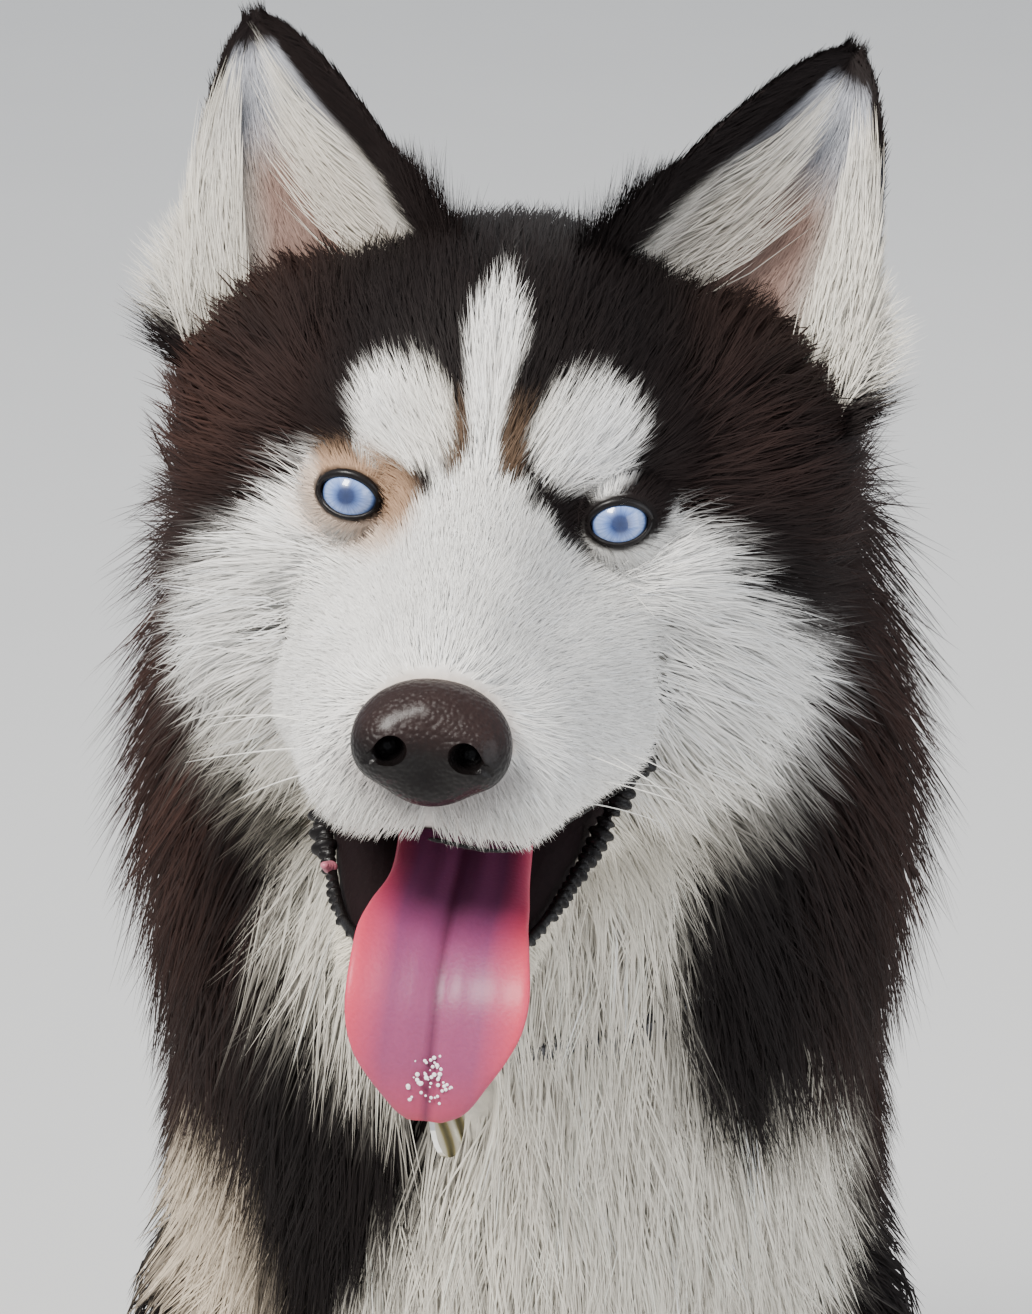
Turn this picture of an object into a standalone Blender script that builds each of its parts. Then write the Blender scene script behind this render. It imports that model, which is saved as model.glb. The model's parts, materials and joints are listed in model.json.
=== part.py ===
"""A Siberian husky as a still, life-size model: it sits, looks up at the viewer and pants.

Metres, +Z up. The dog faces -Y, and its left side is at +X. The origin is on the floor, under the
middle of its bounding box. The flesh is a blend of named masses, each with the radius of the body and
the depth of the coat on it. The blend is modelled whole, and thin cuts part it into the head, neck,
torso, legs and tail. Where the coat is long, locks are joined to it.
"""

import math
import random

import bmesh
import bpy
import numpy as np
from mathutils import Matrix, Vector

GAP = 0.0003
EAR_GAP = 0.0008
SEED = 11
FLOOR = 0.0

# The posture: where the middle of the eyes is, and how the head is turned from level
EYES = Vector((-0.011, -0.084, 0.742))
HEAD_PITCH = math.radians(14.0)
HEAD_YAW = math.radians(-5.0)
HEAD_ROLL = math.radians(4.0)
HEAD = Matrix.Translation(EYES) @ (
    Matrix.Rotation(HEAD_YAW, 4, "Z")
    @ Matrix.Rotation(-HEAD_PITCH, 4, "X")
    @ Matrix.Rotation(HEAD_ROLL, 4, "Y")
)

# The mouth is open: the lower jaw hangs from its hinge by this much
JAW_HINGE = Vector((0.0, 0.072, -0.040))
JAW_DROP = math.radians(26.0)
JAW_FRAME = HEAD @ (
    Matrix.Translation(JAW_HINGE)
    @ Matrix.Rotation(JAW_DROP, 4, "X")
    @ Matrix.Translation(-JAW_HINGE)
)


def clear_scene():
    for obj in list(bpy.data.objects):
        bpy.data.objects.remove(obj)


# The levels of the coat: the skin, the solid core under the locks, and the tips
SKIN, CORE, TIPS = 0.0, 1.0, 2.0


class Mass:
    """A mass of flesh, with the depth of the coat on it and the share of that depth that is solid."""

    def __init__(self, coat, blend, core):
        self.coat = coat
        self.blend = blend
        self.core = core

    def fur(self, level):
        """How far the coat reaches from the skin at a level between the skin and the tips."""
        if level <= CORE:
            return self.coat * self.core * level
        return self.coat * (self.core + (1 - self.core) * (level - CORE))


class Ball(Mass):
    """An ellipsoid: its centre, its three radii and its turn about X in degrees."""

    def __init__(self, centre, radii, turn=0.0, coat=0.0, blend=0.02, core=1.0):
        super().__init__(coat, blend, core)
        self.centre = np.array(centre)
        self.radii = np.array(radii)
        self.turn = math.radians(turn)

    def distance(self, points, level):
        radii = self.radii + self.fur(level)
        cos, sin = math.cos(self.turn), math.sin(self.turn)
        at = points - self.centre
        ahead = at[:, 1] * cos + at[:, 2] * sin
        above = at[:, 2] * cos - at[:, 1] * sin
        local = np.stack([at[:, 0], ahead, above], axis=1)
        first = np.linalg.norm(local / radii, axis=1)
        second = np.linalg.norm(local / radii**2, axis=1)
        return first * (first - 1) / np.maximum(second, 1e-6)

    def rough(self):
        """What a rough mesh of the mass is made of: the places and sizes of unit spheres."""
        turn = Matrix.Rotation(self.turn, 4, "X")
        size = Matrix.Diagonal((*(self.radii + self.fur(CORE)), 1.0))
        return [Matrix.Translation(self.centre) @ turn @ size]


class Limb(Mass):
    """A tapered round limb between two points, with a radius at each."""

    def __init__(self, start, end, radii, coat=0.0, blend=0.02, core=1.0):
        super().__init__(coat, blend, core)
        self.start = np.array(start)
        self.end = np.array(end)
        self.radii = np.array(radii)

    def distance(self, points, level):
        radii = self.radii + self.fur(level)
        along = self.end - self.start
        share = np.clip((points - self.start) @ along / (along @ along), 0.0, 1.0)
        nearest = self.start + share[:, None] * along
        return np.linalg.norm(points - nearest, axis=1) - (
            radii[0] + share * (radii[1] - radii[0])
        )

    def rough(self):
        radii = self.radii + self.fur(CORE)
        length = np.linalg.norm(self.end - self.start)
        count = max(2, int(length / (0.4 * radii.min())) + 1)
        found = []
        for share in np.linspace(0.0, 1.0, count):
            centre = self.start + share * (self.end - self.start)
            radius = float(radii[0] + share * (radii[1] - radii[0]))
            found.append(Matrix.Translation(centre) @ Matrix.Scale(radius, 4))
        return found


class Group:
    """Masses that share a frame. A mirrored group lists one side, and holds both."""

    def __init__(self, masses, frame=None, mirrored=True):
        self.masses = masses
        self.frame = frame or Matrix.Identity(4)
        self.mirrored = mirrored

    def distance(self, points, level):
        inverse = np.array(self.frame.inverted())
        local = points @ inverse[:3, :3].T + inverse[:3, 3]
        if self.mirrored:
            local[:, 0] = np.abs(local[:, 0])
        found = None
        for mass in self.masses:
            found = soft_union(found, mass.distance(local, level), mass.blend)
        return found

    def rough(self):
        flip = Matrix.Scale(-1.0, 4, (1, 0, 0))
        found = []
        for mass in self.masses:
            for matrix in mass.rough():
                found.append(self.frame @ matrix)
                if self.mirrored and matrix.translation.x > 0:
                    found.append(self.frame @ flip @ matrix)
        return found


def soft_union(first, second, blend):
    if first is None:
        return second
    share = np.clip(0.5 + 0.5 * (first - second) / blend, 0.0, 1.0)
    return first * (1 - share) + second * share - blend * share * (1 - share)


SKULL = Group(
    [
        # Cranium, its back and the forehead above the stop
        Ball((0, 0.060, 0.020), (0.053, 0.062, 0.045), 0, 0.013, 0.020),
        Ball((0, 0.092, 0.006), (0.042, 0.040, 0.038), 0, 0.012, 0.020),
        Ball((0, 0.030, 0.018), (0.041, 0.038, 0.034), 18, 0.007, 0.018),
        # Brows over the eyes
        Ball((0.027, 0.017, 0.0150), (0.019, 0.017, 0.012), 0, 0.003, 0.012),
        # The roots of the ears
        Ball((0.062, 0.080, 0.022), (0.022, 0.024, 0.024), 0, 0.010, 0.025),
        # Temples, cheek bones and the cheeks below them
        Ball((0.055, 0.074, 0.000), (0.022, 0.036, 0.030), 0, 0.030, 0.022, 0.6),
        Ball((0.043, 0.036, -0.014), (0.018, 0.034, 0.020), 8, 0.007, 0.018),
        Ball((0.045, 0.060, -0.042), (0.026, 0.036, 0.034), 0, 0.024, 0.022, 0.7),
        # Muzzle: its root below the eyes, the bridge and the deep sides
        Limb((0, 0.018, -0.027), (0, -0.068, -0.0440), (0.033, 0.0215), 0.003, 0.016),
        Limb((0, 0.006, -0.007), (0, -0.082, -0.0350), (0.0165, 0.0130), 0.003, 0.014),
        Limb((0.022, 0.000, -0.042), (0.0150, -0.070, -0.0500), (0.0235, 0.0172), 0.003, 0.012),
        # The upper lips, which hang over the sides of the mouth and meet under the nose
        Limb((0.0325, -0.008, -0.0545), (0.0165, -0.072, -0.0585), (0.0160, 0.0125), 0.003, 0.010),
        Ball((0, -0.0755, -0.0555), (0.0140, 0.0125, 0.0125), 0, 0.003, 0.010),
    ],
    HEAD,
)

JAW = Group(
    [
        Limb((0, 0.020, -0.068), (0, -0.058, -0.0640), (0.0200, 0.0120), 0.003, 0.012),
        Limb((0.027, 0.040, -0.060), (0.0125, -0.056, -0.0600), (0.0170, 0.0100), 0.003, 0.012),
        Ball((0.030, 0.052, -0.056), (0.020, 0.034, 0.026), 0, 0.012, 0.016),
    ],
    JAW_FRAME,
)

NECK = Group(
    [
        # The neck itself, then the throat
        Limb((0, 0.030, 0.690), (0, 0.108, 0.520), (0.056, 0.076), 0.036, 0.045, 0.5),
        Limb((0, -0.018, 0.640), (0, 0.022, 0.485), (0.044, 0.066), 0.020, 0.050, 0.5),
        # The ruff: beside the cheeks, below them and on the shoulders
        Ball((0.034, 0.036, 0.694), (0.024, 0.034, 0.044), 0, 0.040, 0.040, 0.5),
        Ball((0.038, 0.038, 0.624), (0.030, 0.038, 0.055), 0, 0.066, 0.040, 0.5),
        Ball((0.042, 0.050, 0.560), (0.038, 0.050, 0.062), 0, 0.044, 0.045, 0.5),
    ],
)

SPINE_TURN = 38.0
TORSO = Group(
    [
        # Rib cage, breast bone, shoulder blades and withers
        Ball((0, 0.140, 0.430), (0.086, 0.108, 0.170), SPINE_TURN, 0.028, 0.040, 0.5),
        Ball((0, 0.036, 0.430), (0.060, 0.060, 0.095), 0, 0.024, 0.050, 0.5),
        Ball((0.058, 0.080, 0.440), (0.038, 0.060, 0.105), 12, 0.022, 0.045, 0.5),
        Ball((0, 0.165, 0.535), (0.050, 0.065, 0.050), 30, 0.034, 0.040, 0.5),
        # Back, loin, belly and rump
        Limb((0, 0.205, 0.500), (0, 0.335, 0.300), (0.062, 0.070), 0.032, 0.040, 0.5),
        Limb((0, 0.335, 0.300), (0, 0.395, 0.135), (0.070, 0.082), 0.030, 0.040, 0.5),
        Ball((0, 0.245, 0.290), (0.072, 0.085, 0.125), 30, 0.024, 0.040, 0.7),
        Ball((0, 0.385, 0.105), (0.085, 0.085, 0.098), 0, 0.024, 0.040, 0.7),
    ],
)

FORELEGS = Group(
    [
        Limb((0.072, 0.055, 0.400), (0.078, 0.088, 0.290), (0.048, 0.036), 0.014, 0.040),
        Limb((0.077, 0.084, 0.300), (0.074, 0.040, 0.108), (0.035, 0.0200), 0.008, 0.025),
        Limb((0.074, 0.038, 0.110), (0.074, 0.014, 0.040), (0.0210, 0.0220), 0.005, 0.015),
        Ball((0.074, -0.008, 0.0215), (0.0290, 0.0380, 0.0215), -6, 0.003, 0.012),
    ],
)

HINDLEGS = Group(
    [
        # Thigh, shank and the long hind foot laid on the floor
        Limb((0.080, 0.350, 0.150), (0.112, 0.235, 0.180), (0.080, 0.060), 0.018, 0.045, 0.6),
        Ball((0.094, 0.310, 0.115), (0.054, 0.100, 0.090), 0, 0.018, 0.040, 0.6),
        Limb((0.116, 0.215, 0.155), (0.120, 0.325, 0.060), (0.046, 0.036), 0.012, 0.030),
        Limb((0.126, 0.340, 0.036), (0.134, 0.195, 0.030), (0.026, 0.0240), 0.007, 0.025),
        Ball((0.136, 0.160, 0.0205), (0.0280, 0.0400, 0.0205), -5, 0.003, 0.012),
    ],
)

# Toes: how far each is from the paw's middle, sideways and forwards
TOE_RADII = (0.0088, 0.0175, 0.0115)
TOE_SPREAD = (-0.0225, -0.0078, 0.0078, 0.0225)
TOE_REACH = (0.018, 0.029, 0.029, 0.018)
PAWS = (Vector((0.074, -0.010, 0.0)), Vector((0.136, 0.160, 0.0)))


def toes(paw):
    """The four toes of a paw on the left side."""
    height = TOE_RADII[2] + 0.0015
    found = []
    for side, reach in zip(TOE_SPREAD, TOE_REACH):
        centre = (paw.x + side, paw.y - reach, height)
        found.append(Ball(centre, TOE_RADII, -8, 0.002, 0.006))
    return found


TOES = Group(toes(PAWS[0]) + toes(PAWS[1]))

# The tail lies on the floor and sweeps round to the dog's left
TAIL_LINE = [
    (0.000, 0.430, 0.110),
    (0.004, 0.498, 0.068),
    (0.040, 0.545, 0.050),
    (0.105, 0.550, 0.047),
    (0.165, 0.515, 0.045),
    (0.212, 0.455, 0.041),
    (0.240, 0.395, 0.034),
]
TAIL_RADII = (0.024, 0.020, 0.017, 0.015, 0.013, 0.010, 0.006)
TAIL_COAT = 0.034
TAIL = Group(
    [
        Limb(a, b, (ra, rb), TAIL_COAT, 0.012, 0.45)
        for a, b, ra, rb in zip(TAIL_LINE, TAIL_LINE[1:], TAIL_RADII, TAIL_RADII[1:])
    ],
    mirrored=False,
)

BODY = [TORSO, NECK, FORELEGS, HINDLEGS, TOES, SKULL, JAW]
HEAD_PARTS = [NECK, SKULL, JAW]
JOIN = 0.012

BODY_VOXEL = 0.007
TAIL_VOXEL = 0.006
HEAD_VOXEL = 0.003
NOSE_VOXEL = 0.0012
BODY_TRIANGLES = 2600
TAIL_TRIANGLES = 340
HEAD_TRIANGLES = 2100
NOSE_TRIANGLES = 300
SAME_POINT = 2e-6


def field(points, groups, level=CORE):
    """The distance from each point to the blend at a level of its coat, negative inside it."""
    found = None
    for group in groups:
        found = soft_union(found, group.distance(points, level), JOIN)
    return found


def slope(points, groups, level=CORE, step=0.0005):
    """The blend's value at each point, and the direction in which it rises."""
    value = field(points, groups, level)
    rise = np.empty_like(points)
    for axis in range(3):
        ahead = points.copy()
        ahead[:, axis] += step
        rise[:, axis] = (field(ahead, groups, level) - value) / step
    return value, rise


def settled(points, groups, level=CORE, rounds=1):
    """The points moved along the blend's slope onto its surface."""
    for _ in range(rounds):
        value, rise = slope(points, groups, level)
        size = np.maximum((rise**2).sum(axis=1), 0.1)
        points = points - rise * (value / size)[:, None]
    return points


def unit(vectors):
    return vectors / np.maximum(np.linalg.norm(vectors, axis=-1, keepdims=True), 1e-9)


def link(name, mesh):
    obj = bpy.data.objects.new(name, mesh)
    bpy.context.scene.collection.objects.link(obj)
    return obj


def from_bmesh(name, bm):
    mesh = bpy.data.meshes.new(name)
    bm.to_mesh(mesh)
    bm.free()
    return link(name, mesh)


def apply_modifiers(obj):
    """The object's evaluated mesh takes the place of its mesh, and its modifiers go."""
    bpy.context.view_layer.update()
    graph = bpy.context.evaluated_depsgraph_get()
    mesh = bpy.data.meshes.new_from_object(obj.evaluated_get(graph))
    obj.modifiers.clear()
    obj.data = mesh
    return obj


def boolean(obj, operation, *others):
    """One Boolean on the object with all the others, which are then removed."""
    group = bpy.data.collections.new("operands")
    bpy.context.scene.collection.children.link(group)
    for other in others:
        bpy.context.scene.collection.objects.unlink(other)
        group.objects.link(other)
    cut = obj.modifiers.new("boolean", "BOOLEAN")
    cut.operation = operation
    cut.operand_type = "COLLECTION"
    cut.collection = group
    cut.solver = "MANIFOLD"
    apply_modifiers(obj)
    for other in others:
        bpy.data.objects.remove(other)
    bpy.data.collections.remove(group)
    return obj


def copied(obj, name="copy"):
    return link(name, obj.data.copy())


def swollen(obj, margin):
    """A copy of a convex, round piece that stands out by the margin all round."""
    twin = copied(obj)
    bm = bmesh.new()
    bm.from_mesh(twin.data)
    bm.normal_update()
    for vertex in bm.verts:
        vertex.co += vertex.normal * margin
    bm.to_mesh(twin.data)
    bm.free()
    return twin


def box(low, high):
    bm = bmesh.new()
    size = [b - a for a, b in zip(low, high)]
    middle = [(a + b) / 2 for a, b in zip(low, high)]
    matrix = Matrix.Translation(middle) @ Matrix.Diagonal((*size, 1.0))
    bmesh.ops.create_cube(bm, size=1.0, matrix=matrix)
    return from_bmesh("box", bm)


def half_space(point, normal, reach=1.5):
    """A large block on the side of the plane that the normal points to."""
    turn = Vector(normal).to_track_quat("Z", "Y").to_matrix().to_4x4()
    bm = bmesh.new()
    matrix = Matrix.Translation(point) @ turn @ Matrix.Translation((0, 0, reach / 2))
    bmesh.ops.create_cube(bm, size=reach, matrix=matrix)
    return from_bmesh("half space", bm)


def largest_surface(obj):
    """Only the largest closed surface of the object is kept; it doesn't go on past a shared edge."""
    bm = bmesh.new()
    bm.from_mesh(obj.data)
    bmesh.ops.remove_doubles(bm, verts=bm.verts, dist=SAME_POINT)
    seen = set()
    shells = []
    for start in bm.faces:
        if start in seen:
            continue
        shell = [start]
        seen.add(start)
        for face in shell:
            for edge in face.edges:
                if len(edge.link_faces) != 2:
                    continue
                for other in edge.link_faces:
                    if other not in seen:
                        seen.add(other)
                        shell.append(other)
        shells.append(shell)
    shells.sort(key=lambda shell: sum(face.calc_area() for face in shell))
    loose = [face for shell in shells[:-1] for face in shell]
    bmesh.ops.delete(bm, geom=loose, context="FACES")
    bm.to_mesh(obj.data)
    bm.free()
    return obj


def reduced(obj, triangles):
    bm = bmesh.new()
    bm.from_mesh(obj.data)
    bmesh.ops.triangulate(bm, faces=bm.faces)
    bm.to_mesh(obj.data)
    bm.free()
    fewer = obj.modifiers.new("fewer", "DECIMATE")
    fewer.ratio = triangles / len(obj.data.polygons)
    return apply_modifiers(obj)


def flesh(name, shape, surface, voxel, triangles, rounds=3):
    """A closed mesh of some groups: rough spheres, fused on a voxel grid, then settled on the surface."""
    bm = bmesh.new()
    for group in shape:
        for matrix in group.rough():
            bmesh.ops.create_icosphere(bm, subdivisions=3, radius=1.0, matrix=matrix)
    bmesh.ops.recalc_face_normals(bm, faces=bm.faces)
    obj = from_bmesh(name, bm)
    fuse = obj.modifiers.new("fuse", "REMESH")
    fuse.mode = "VOXEL"
    fuse.voxel_size = voxel
    apply_modifiers(obj)
    for _ in range(rounds):
        relax = obj.modifiers.new("relax", "SMOOTH")
        relax.iterations = 2
        relax.factor = 0.5
        apply_modifiers(obj)
        flat = np.empty(len(obj.data.vertices) * 3)
        obj.data.vertices.foreach_get("co", flat)
        points = settled(flat.reshape(-1, 3), surface)
        obj.data.vertices.foreach_set("co", points.ravel())
    return largest_surface(reduced(obj, triangles))


# The cuts between the parts: a point on each plane and the normal that points away from the torso
NECK_CUT = (Vector((0.0, 0.060, 0.555)), Vector((0.0, -0.40, 0.92)).normalized())
HEAD_CUT = (
    HEAD @ Vector((0.0, 0.080, -0.035)),
    (HEAD.to_3x3() @ Vector((0.0, -0.86, 0.51))).normalized(),
)
TAIL_ROOT_BLOCK = ((-0.100, 0.300, -0.100), (0.100, 0.474, 0.300))
TAIL_SPACE = ((0.000, 0.300, -0.100), (0.100, 0.478, 0.300))
# The tail bends round the hip, and two cuts across it part its root, middle and tip
TAIL_CUTS = (
    (Vector((0.072, 0.550, 0.048)), Vector((1.00, 0.05, 0.00)).normalized()),
    (Vector((0.165, 0.515, 0.045)), Vector((0.70, -0.70, 0.00)).normalized()),
)

# The blocks that hold the legs of the left side; the right side mirrors them
FORELEG_BLOCK = ((0.034, -0.100, -0.050), (0.200, 0.140, 0.310))
HINDLEG_BLOCKS = (
    ((0.064, 0.1403, -0.050), (0.300, 0.4860, 0.272)),
    ((0.1045, 0.080, -0.050), (0.300, 0.160, 0.080)),
)


def side_block(corners, side, margin=0.0):
    (x0, y0, z0), (x1, y1, z1) = corners
    low = (min(side * x0, side * x1) - margin, y0 - margin, z0 - margin)
    high = (max(side * x0, side * x1) + margin, y1 + margin, z1 + margin)
    return box(low, high)


def beyond(cut, margin=0.0):
    """The space on the far side of a cut, moved back over it by the margin."""
    point, normal = cut
    return half_space(point - normal * margin, normal)


def cut_tail(tail):
    """The tail's root, middle and tip, parted by thin gaps."""
    root_end, middle_end = TAIL_CUTS
    tip = boolean(copied(tail), "INTERSECT", beyond(middle_end))
    middle = boolean(copied(tail), "INTERSECT", beyond(root_end))
    boolean(middle, "DIFFERENCE", beyond(middle_end, GAP))
    boolean(tail, "DIFFERENCE", beyond(root_end, GAP))
    return {"tail_root": tail, "tail_middle": middle, "tail_tip": tip}


def cut_body(body):
    """The torso, neck, tail and legs, parted by thin gaps."""
    found = {}
    for side, word in ((1, "left"), (-1, "right")):
        hind = side_block(HINDLEG_BLOCKS[0], side)
        boolean(hind, "UNION", side_block(HINDLEG_BLOCKS[1], side))
        found[f"hindleg_{word}"] = boolean(copied(body), "INTERSECT", hind)
        leg = boolean(copied(body), "INTERSECT", side_block(FORELEG_BLOCK, side))
        for block in HINDLEG_BLOCKS:
            boolean(leg, "DIFFERENCE", side_block(block, side, GAP))
        found[f"foreleg_{word}"] = leg
    tail = flesh("tail", [TAIL], [TAIL], TAIL_VOXEL, TAIL_TRIANGLES)
    boolean(tail, "DIFFERENCE", box(*TAIL_ROOT_BLOCK))
    neck = boolean(copied(body), "INTERSECT", beyond(NECK_CUT))
    found["neck"] = boolean(neck, "DIFFERENCE", beyond(HEAD_CUT, GAP))
    torso = boolean(body, "DIFFERENCE", beyond(NECK_CUT, GAP))
    boolean(torso, "DIFFERENCE", swollen(tail, GAP))
    found |= cut_tail(tail)
    for side in (1, -1):
        for block in (FORELEG_BLOCK, *HINDLEG_BLOCKS):
            boolean(torso, "DIFFERENCE", side_block(block, side, GAP))
    found["torso"] = torso
    for name, obj in found.items():
        obj.name = name
        boolean(obj, "DIFFERENCE", box((-1, -1, -1), (1, 1, FLOOR)))
        largest_surface(obj)
    return found


# The eyes, in the head's frame: its origin is midway between them and it looks along -Y
EYE_RADIUS = 0.0112
EYE_CENTRE = Vector((0.0345, 0.0060, 0.0))
EYE_TURN_OUT = math.radians(7.0)
CORNEA_RADIUS = 0.0086
CORNEA_RISE = 0.0014
LID_DEPTH = 0.0024
LID_OPENING = (0.0100, 0.0066)
LID_TILT = math.radians(10.0)


def eye_frame(side):
    centre = Vector((side * EYE_CENTRE.x, EYE_CENTRE.y, EYE_CENTRE.z))
    return (
        HEAD
        @ Matrix.Translation(centre)
        @ Matrix.Rotation(side * EYE_TURN_OUT, 4, "Z")
        @ Matrix.Rotation(-side * LID_TILT, 4, "Y")
    )


def ball(radius, matrix, segments=16, rings=10):
    bm = bmesh.new()
    bmesh.ops.create_uvsphere(
        bm, u_segments=segments, v_segments=rings, radius=radius, matrix=matrix
    )
    return from_bmesh("ball", bm)


def make_eye(side, margin=0.0):
    """The eyeball and, with the cornea's bulge on it, one round piece."""
    frame = eye_frame(side)
    upright = Matrix.Rotation(math.radians(90), 4, "X")
    eye = ball(EYE_RADIUS + margin, frame @ upright)
    ahead = EYE_RADIUS + CORNEA_RISE - CORNEA_RADIUS
    cornea = Matrix.Translation((0, -ahead, 0))
    return boolean(eye, "UNION", ball(CORNEA_RADIUS + margin, frame @ cornea @ upright))


def open_eye(head, side):
    """Lids that wrap the eyeball, with an almond opening between them."""
    frame = eye_frame(side)
    upright = Matrix.Rotation(math.radians(90), 4, "X")
    boolean(head, "UNION", ball(EYE_RADIUS + LID_DEPTH, frame @ upright))
    size = Matrix.Diagonal((LID_OPENING[0], 0.03, LID_OPENING[1], 1.0))
    opening = ball(1.0, frame @ Matrix.Translation((0, -0.020, 0)) @ size)
    boolean(head, "DIFFERENCE", opening)
    boolean(head, "DIFFERENCE", make_eye(side, GAP))


NOSE = Group(
    [
        Ball((0, -0.0945, -0.0415), (0.0178, 0.0115, 0.0125), 8, 0.0, 0.006),
        Ball((0.0105, -0.0980, -0.0460), (0.0086, 0.0085, 0.0090), 0, 0.0, 0.006),
        Ball((0, -0.0960, -0.0540), (0.0090, 0.0070, 0.0060), 0, 0.0, 0.006),
    ],
    HEAD,
)
NOSTRIL = ((0.0082, -0.1075, -0.0462), (0.0172, -0.1035, -0.0497))
NOSTRIL_RADII = (0.0036, 0.0016)
PHILTRUM_WIDTH = 0.0010


def make_nose():
    nose = flesh("nose", [NOSE], [NOSE], NOSE_VOXEL, NOSE_TRIANGLES)
    for side in (1, -1):
        start, end = (Vector((side * p[0], p[1], p[2])) for p in NOSTRIL)
        steps = 3
        cutters = []
        for i in range(steps):
            share = i / (steps - 1)
            radius = NOSTRIL_RADII[0] + share * (NOSTRIL_RADII[1] - NOSTRIL_RADII[0])
            place = HEAD @ Matrix.Translation(start.lerp(end, share))
            deep = Matrix.Diagonal((1.0, 1.8, 1.0, 1.0))
            cutters.append(ball(radius, place @ deep, 8, 6))
        hole = cutters[0]
        boolean(hole, "UNION", *cutters[1:])
        boolean(nose, "DIFFERENCE", hole)
    groove = box((-PHILTRUM_WIDTH / 2, -0.115, -0.063), (PHILTRUM_WIDTH / 2, -0.1025, -0.044))
    groove.data.transform(HEAD)
    return boolean(nose, "DIFFERENCE", groove)


def meshed(curve):
    """The curve as a closed mesh, with its caps welded; the curve goes."""
    obj = link(curve.name, curve)
    bpy.context.view_layer.update()
    graph = bpy.context.evaluated_depsgraph_get()
    mesh = bpy.data.meshes.new_from_object(obj.evaluated_get(graph))
    bpy.data.objects.remove(obj)
    bm = bmesh.new()
    bm.from_mesh(mesh)
    bmesh.ops.remove_doubles(bm, verts=bm.verts, dist=1e-6)
    bmesh.ops.recalc_face_normals(bm, faces=bm.faces)
    return from_bmesh("tube", bm)


def tube(points, radii, sides=8):
    """A bevelled curve through the points, as a closed mesh."""
    curve = bpy.data.curves.new("tube", "CURVE")
    curve.dimensions = "3D"
    curve.bevel_depth = 1.0
    curve.bevel_resolution = max(0, (sides - 4) // 2)
    curve.use_fill_caps = True
    spline = curve.splines.new("POLY")
    spline.points.add(len(points) - 1)
    for node, point, radius in zip(spline.points, points, radii):
        node.co = (*point, 1.0)
        node.radius = radius
    return meshed(curve)


# Lips: lines near the mouth's edges, in the frames of the head and of the jaw
UPPER_LIP = [
    (0.049, 0.006, -0.061),
    (0.044, -0.018, -0.072),
    (0.038, -0.038, -0.075),
    (0.030, -0.060, -0.076),
    (0.018, -0.078, -0.075),
    (0.000, -0.083, -0.073),
]
LOWER_LIP = [
    (0.042, -0.006, -0.060),
    (0.035, -0.026, -0.056),
    (0.027, -0.046, -0.053),
    (0.016, -0.062, -0.053),
    (0.000, -0.070, -0.053),
]
LIP_RADIUS = 0.0020
LIP_STEPS = 3


def lip_line(corners, frame):
    """The lip's line from the left corner of the mouth to the right one, laid on the coat's surface."""
    left = [Vector(corner) for corner in corners]
    right = [Vector((-corner.x, corner.y, corner.z)) for corner in reversed(left[:-1])]
    guide = left + right
    found = []
    for a, b in zip(guide, guide[1:]):
        for i in range(LIP_STEPS):
            found.append(frame @ a.lerp(b, i / LIP_STEPS))
    found.append(frame @ guide[-1])
    return settled(np.array([tuple(point) for point in found]), HEAD_PARTS, rounds=6)


def add_lips(head):
    lips = []
    for corners, frame in ((UPPER_LIP, HEAD), (LOWER_LIP, JAW_FRAME)):
        line = lip_line(corners, frame)
        line = (np.roll(line, 1, axis=0) + line + np.roll(line, -1, axis=0))[1:-1] / 3
        share = np.linspace(0, math.pi, len(line))
        radii = LIP_RADIUS * (0.45 + 0.55 * np.sin(share))
        lips.append(tube([tuple(point) for point in line], radii, 6))
    boolean(head, "UNION", *lips)


# The tongue lies along the jaw and hangs over it: stations of (y, z, half width, half thickness)
TONGUE_ASIDE = 0.0045
TONGUE_STATIONS = [
    (0.0200, -0.0700, 0.0150, 0.0070),
    (0.0020, -0.0790, 0.0170, 0.0065),
    (-0.0160, -0.0885, 0.0180, 0.0058),
    (-0.0340, -0.0960, 0.0182, 0.0052),
    (-0.0500, -0.1010, 0.0186, 0.0047),
    (-0.0620, -0.1070, 0.0198, 0.0043),
    (-0.0690, -0.1160, 0.0218, 0.0040),
    (-0.0710, -0.1265, 0.0226, 0.0037),
    (-0.0705, -0.1360, 0.0200, 0.0033),
    (-0.0695, -0.1430, 0.0135, 0.0028),
    (-0.0688, -0.1465, 0.0060, 0.0018),
]
TONGUE_SIDES = 14
TONGUE_GROOVE = 0.0016
TONGUE_CURL = 0.0040


def tongue_ring(index):
    y, z, width, thick = TONGUE_STATIONS[index]
    before = TONGUE_STATIONS[max(index - 1, 0)]
    after = TONGUE_STATIONS[min(index + 1, len(TONGUE_STATIONS) - 1)]
    along = Vector((0, after[0] - before[0], after[1] - before[1])).normalized()
    out = Vector((1, 0, 0)).cross(along).normalized()
    ring = []
    for i in range(TONGUE_SIDES):
        angle = 2 * math.pi * i / TONGUE_SIDES
        across = width * math.cos(angle)
        depth = thick * math.sin(angle)
        if depth < 0:
            depth += TONGUE_GROOVE * math.exp(-((across / 0.0035) ** 2))
        depth -= TONGUE_CURL * (across / 0.02) ** 2
        ring.append(Vector((across + TONGUE_ASIDE, y, z)) + out * depth)
    return ring


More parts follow.
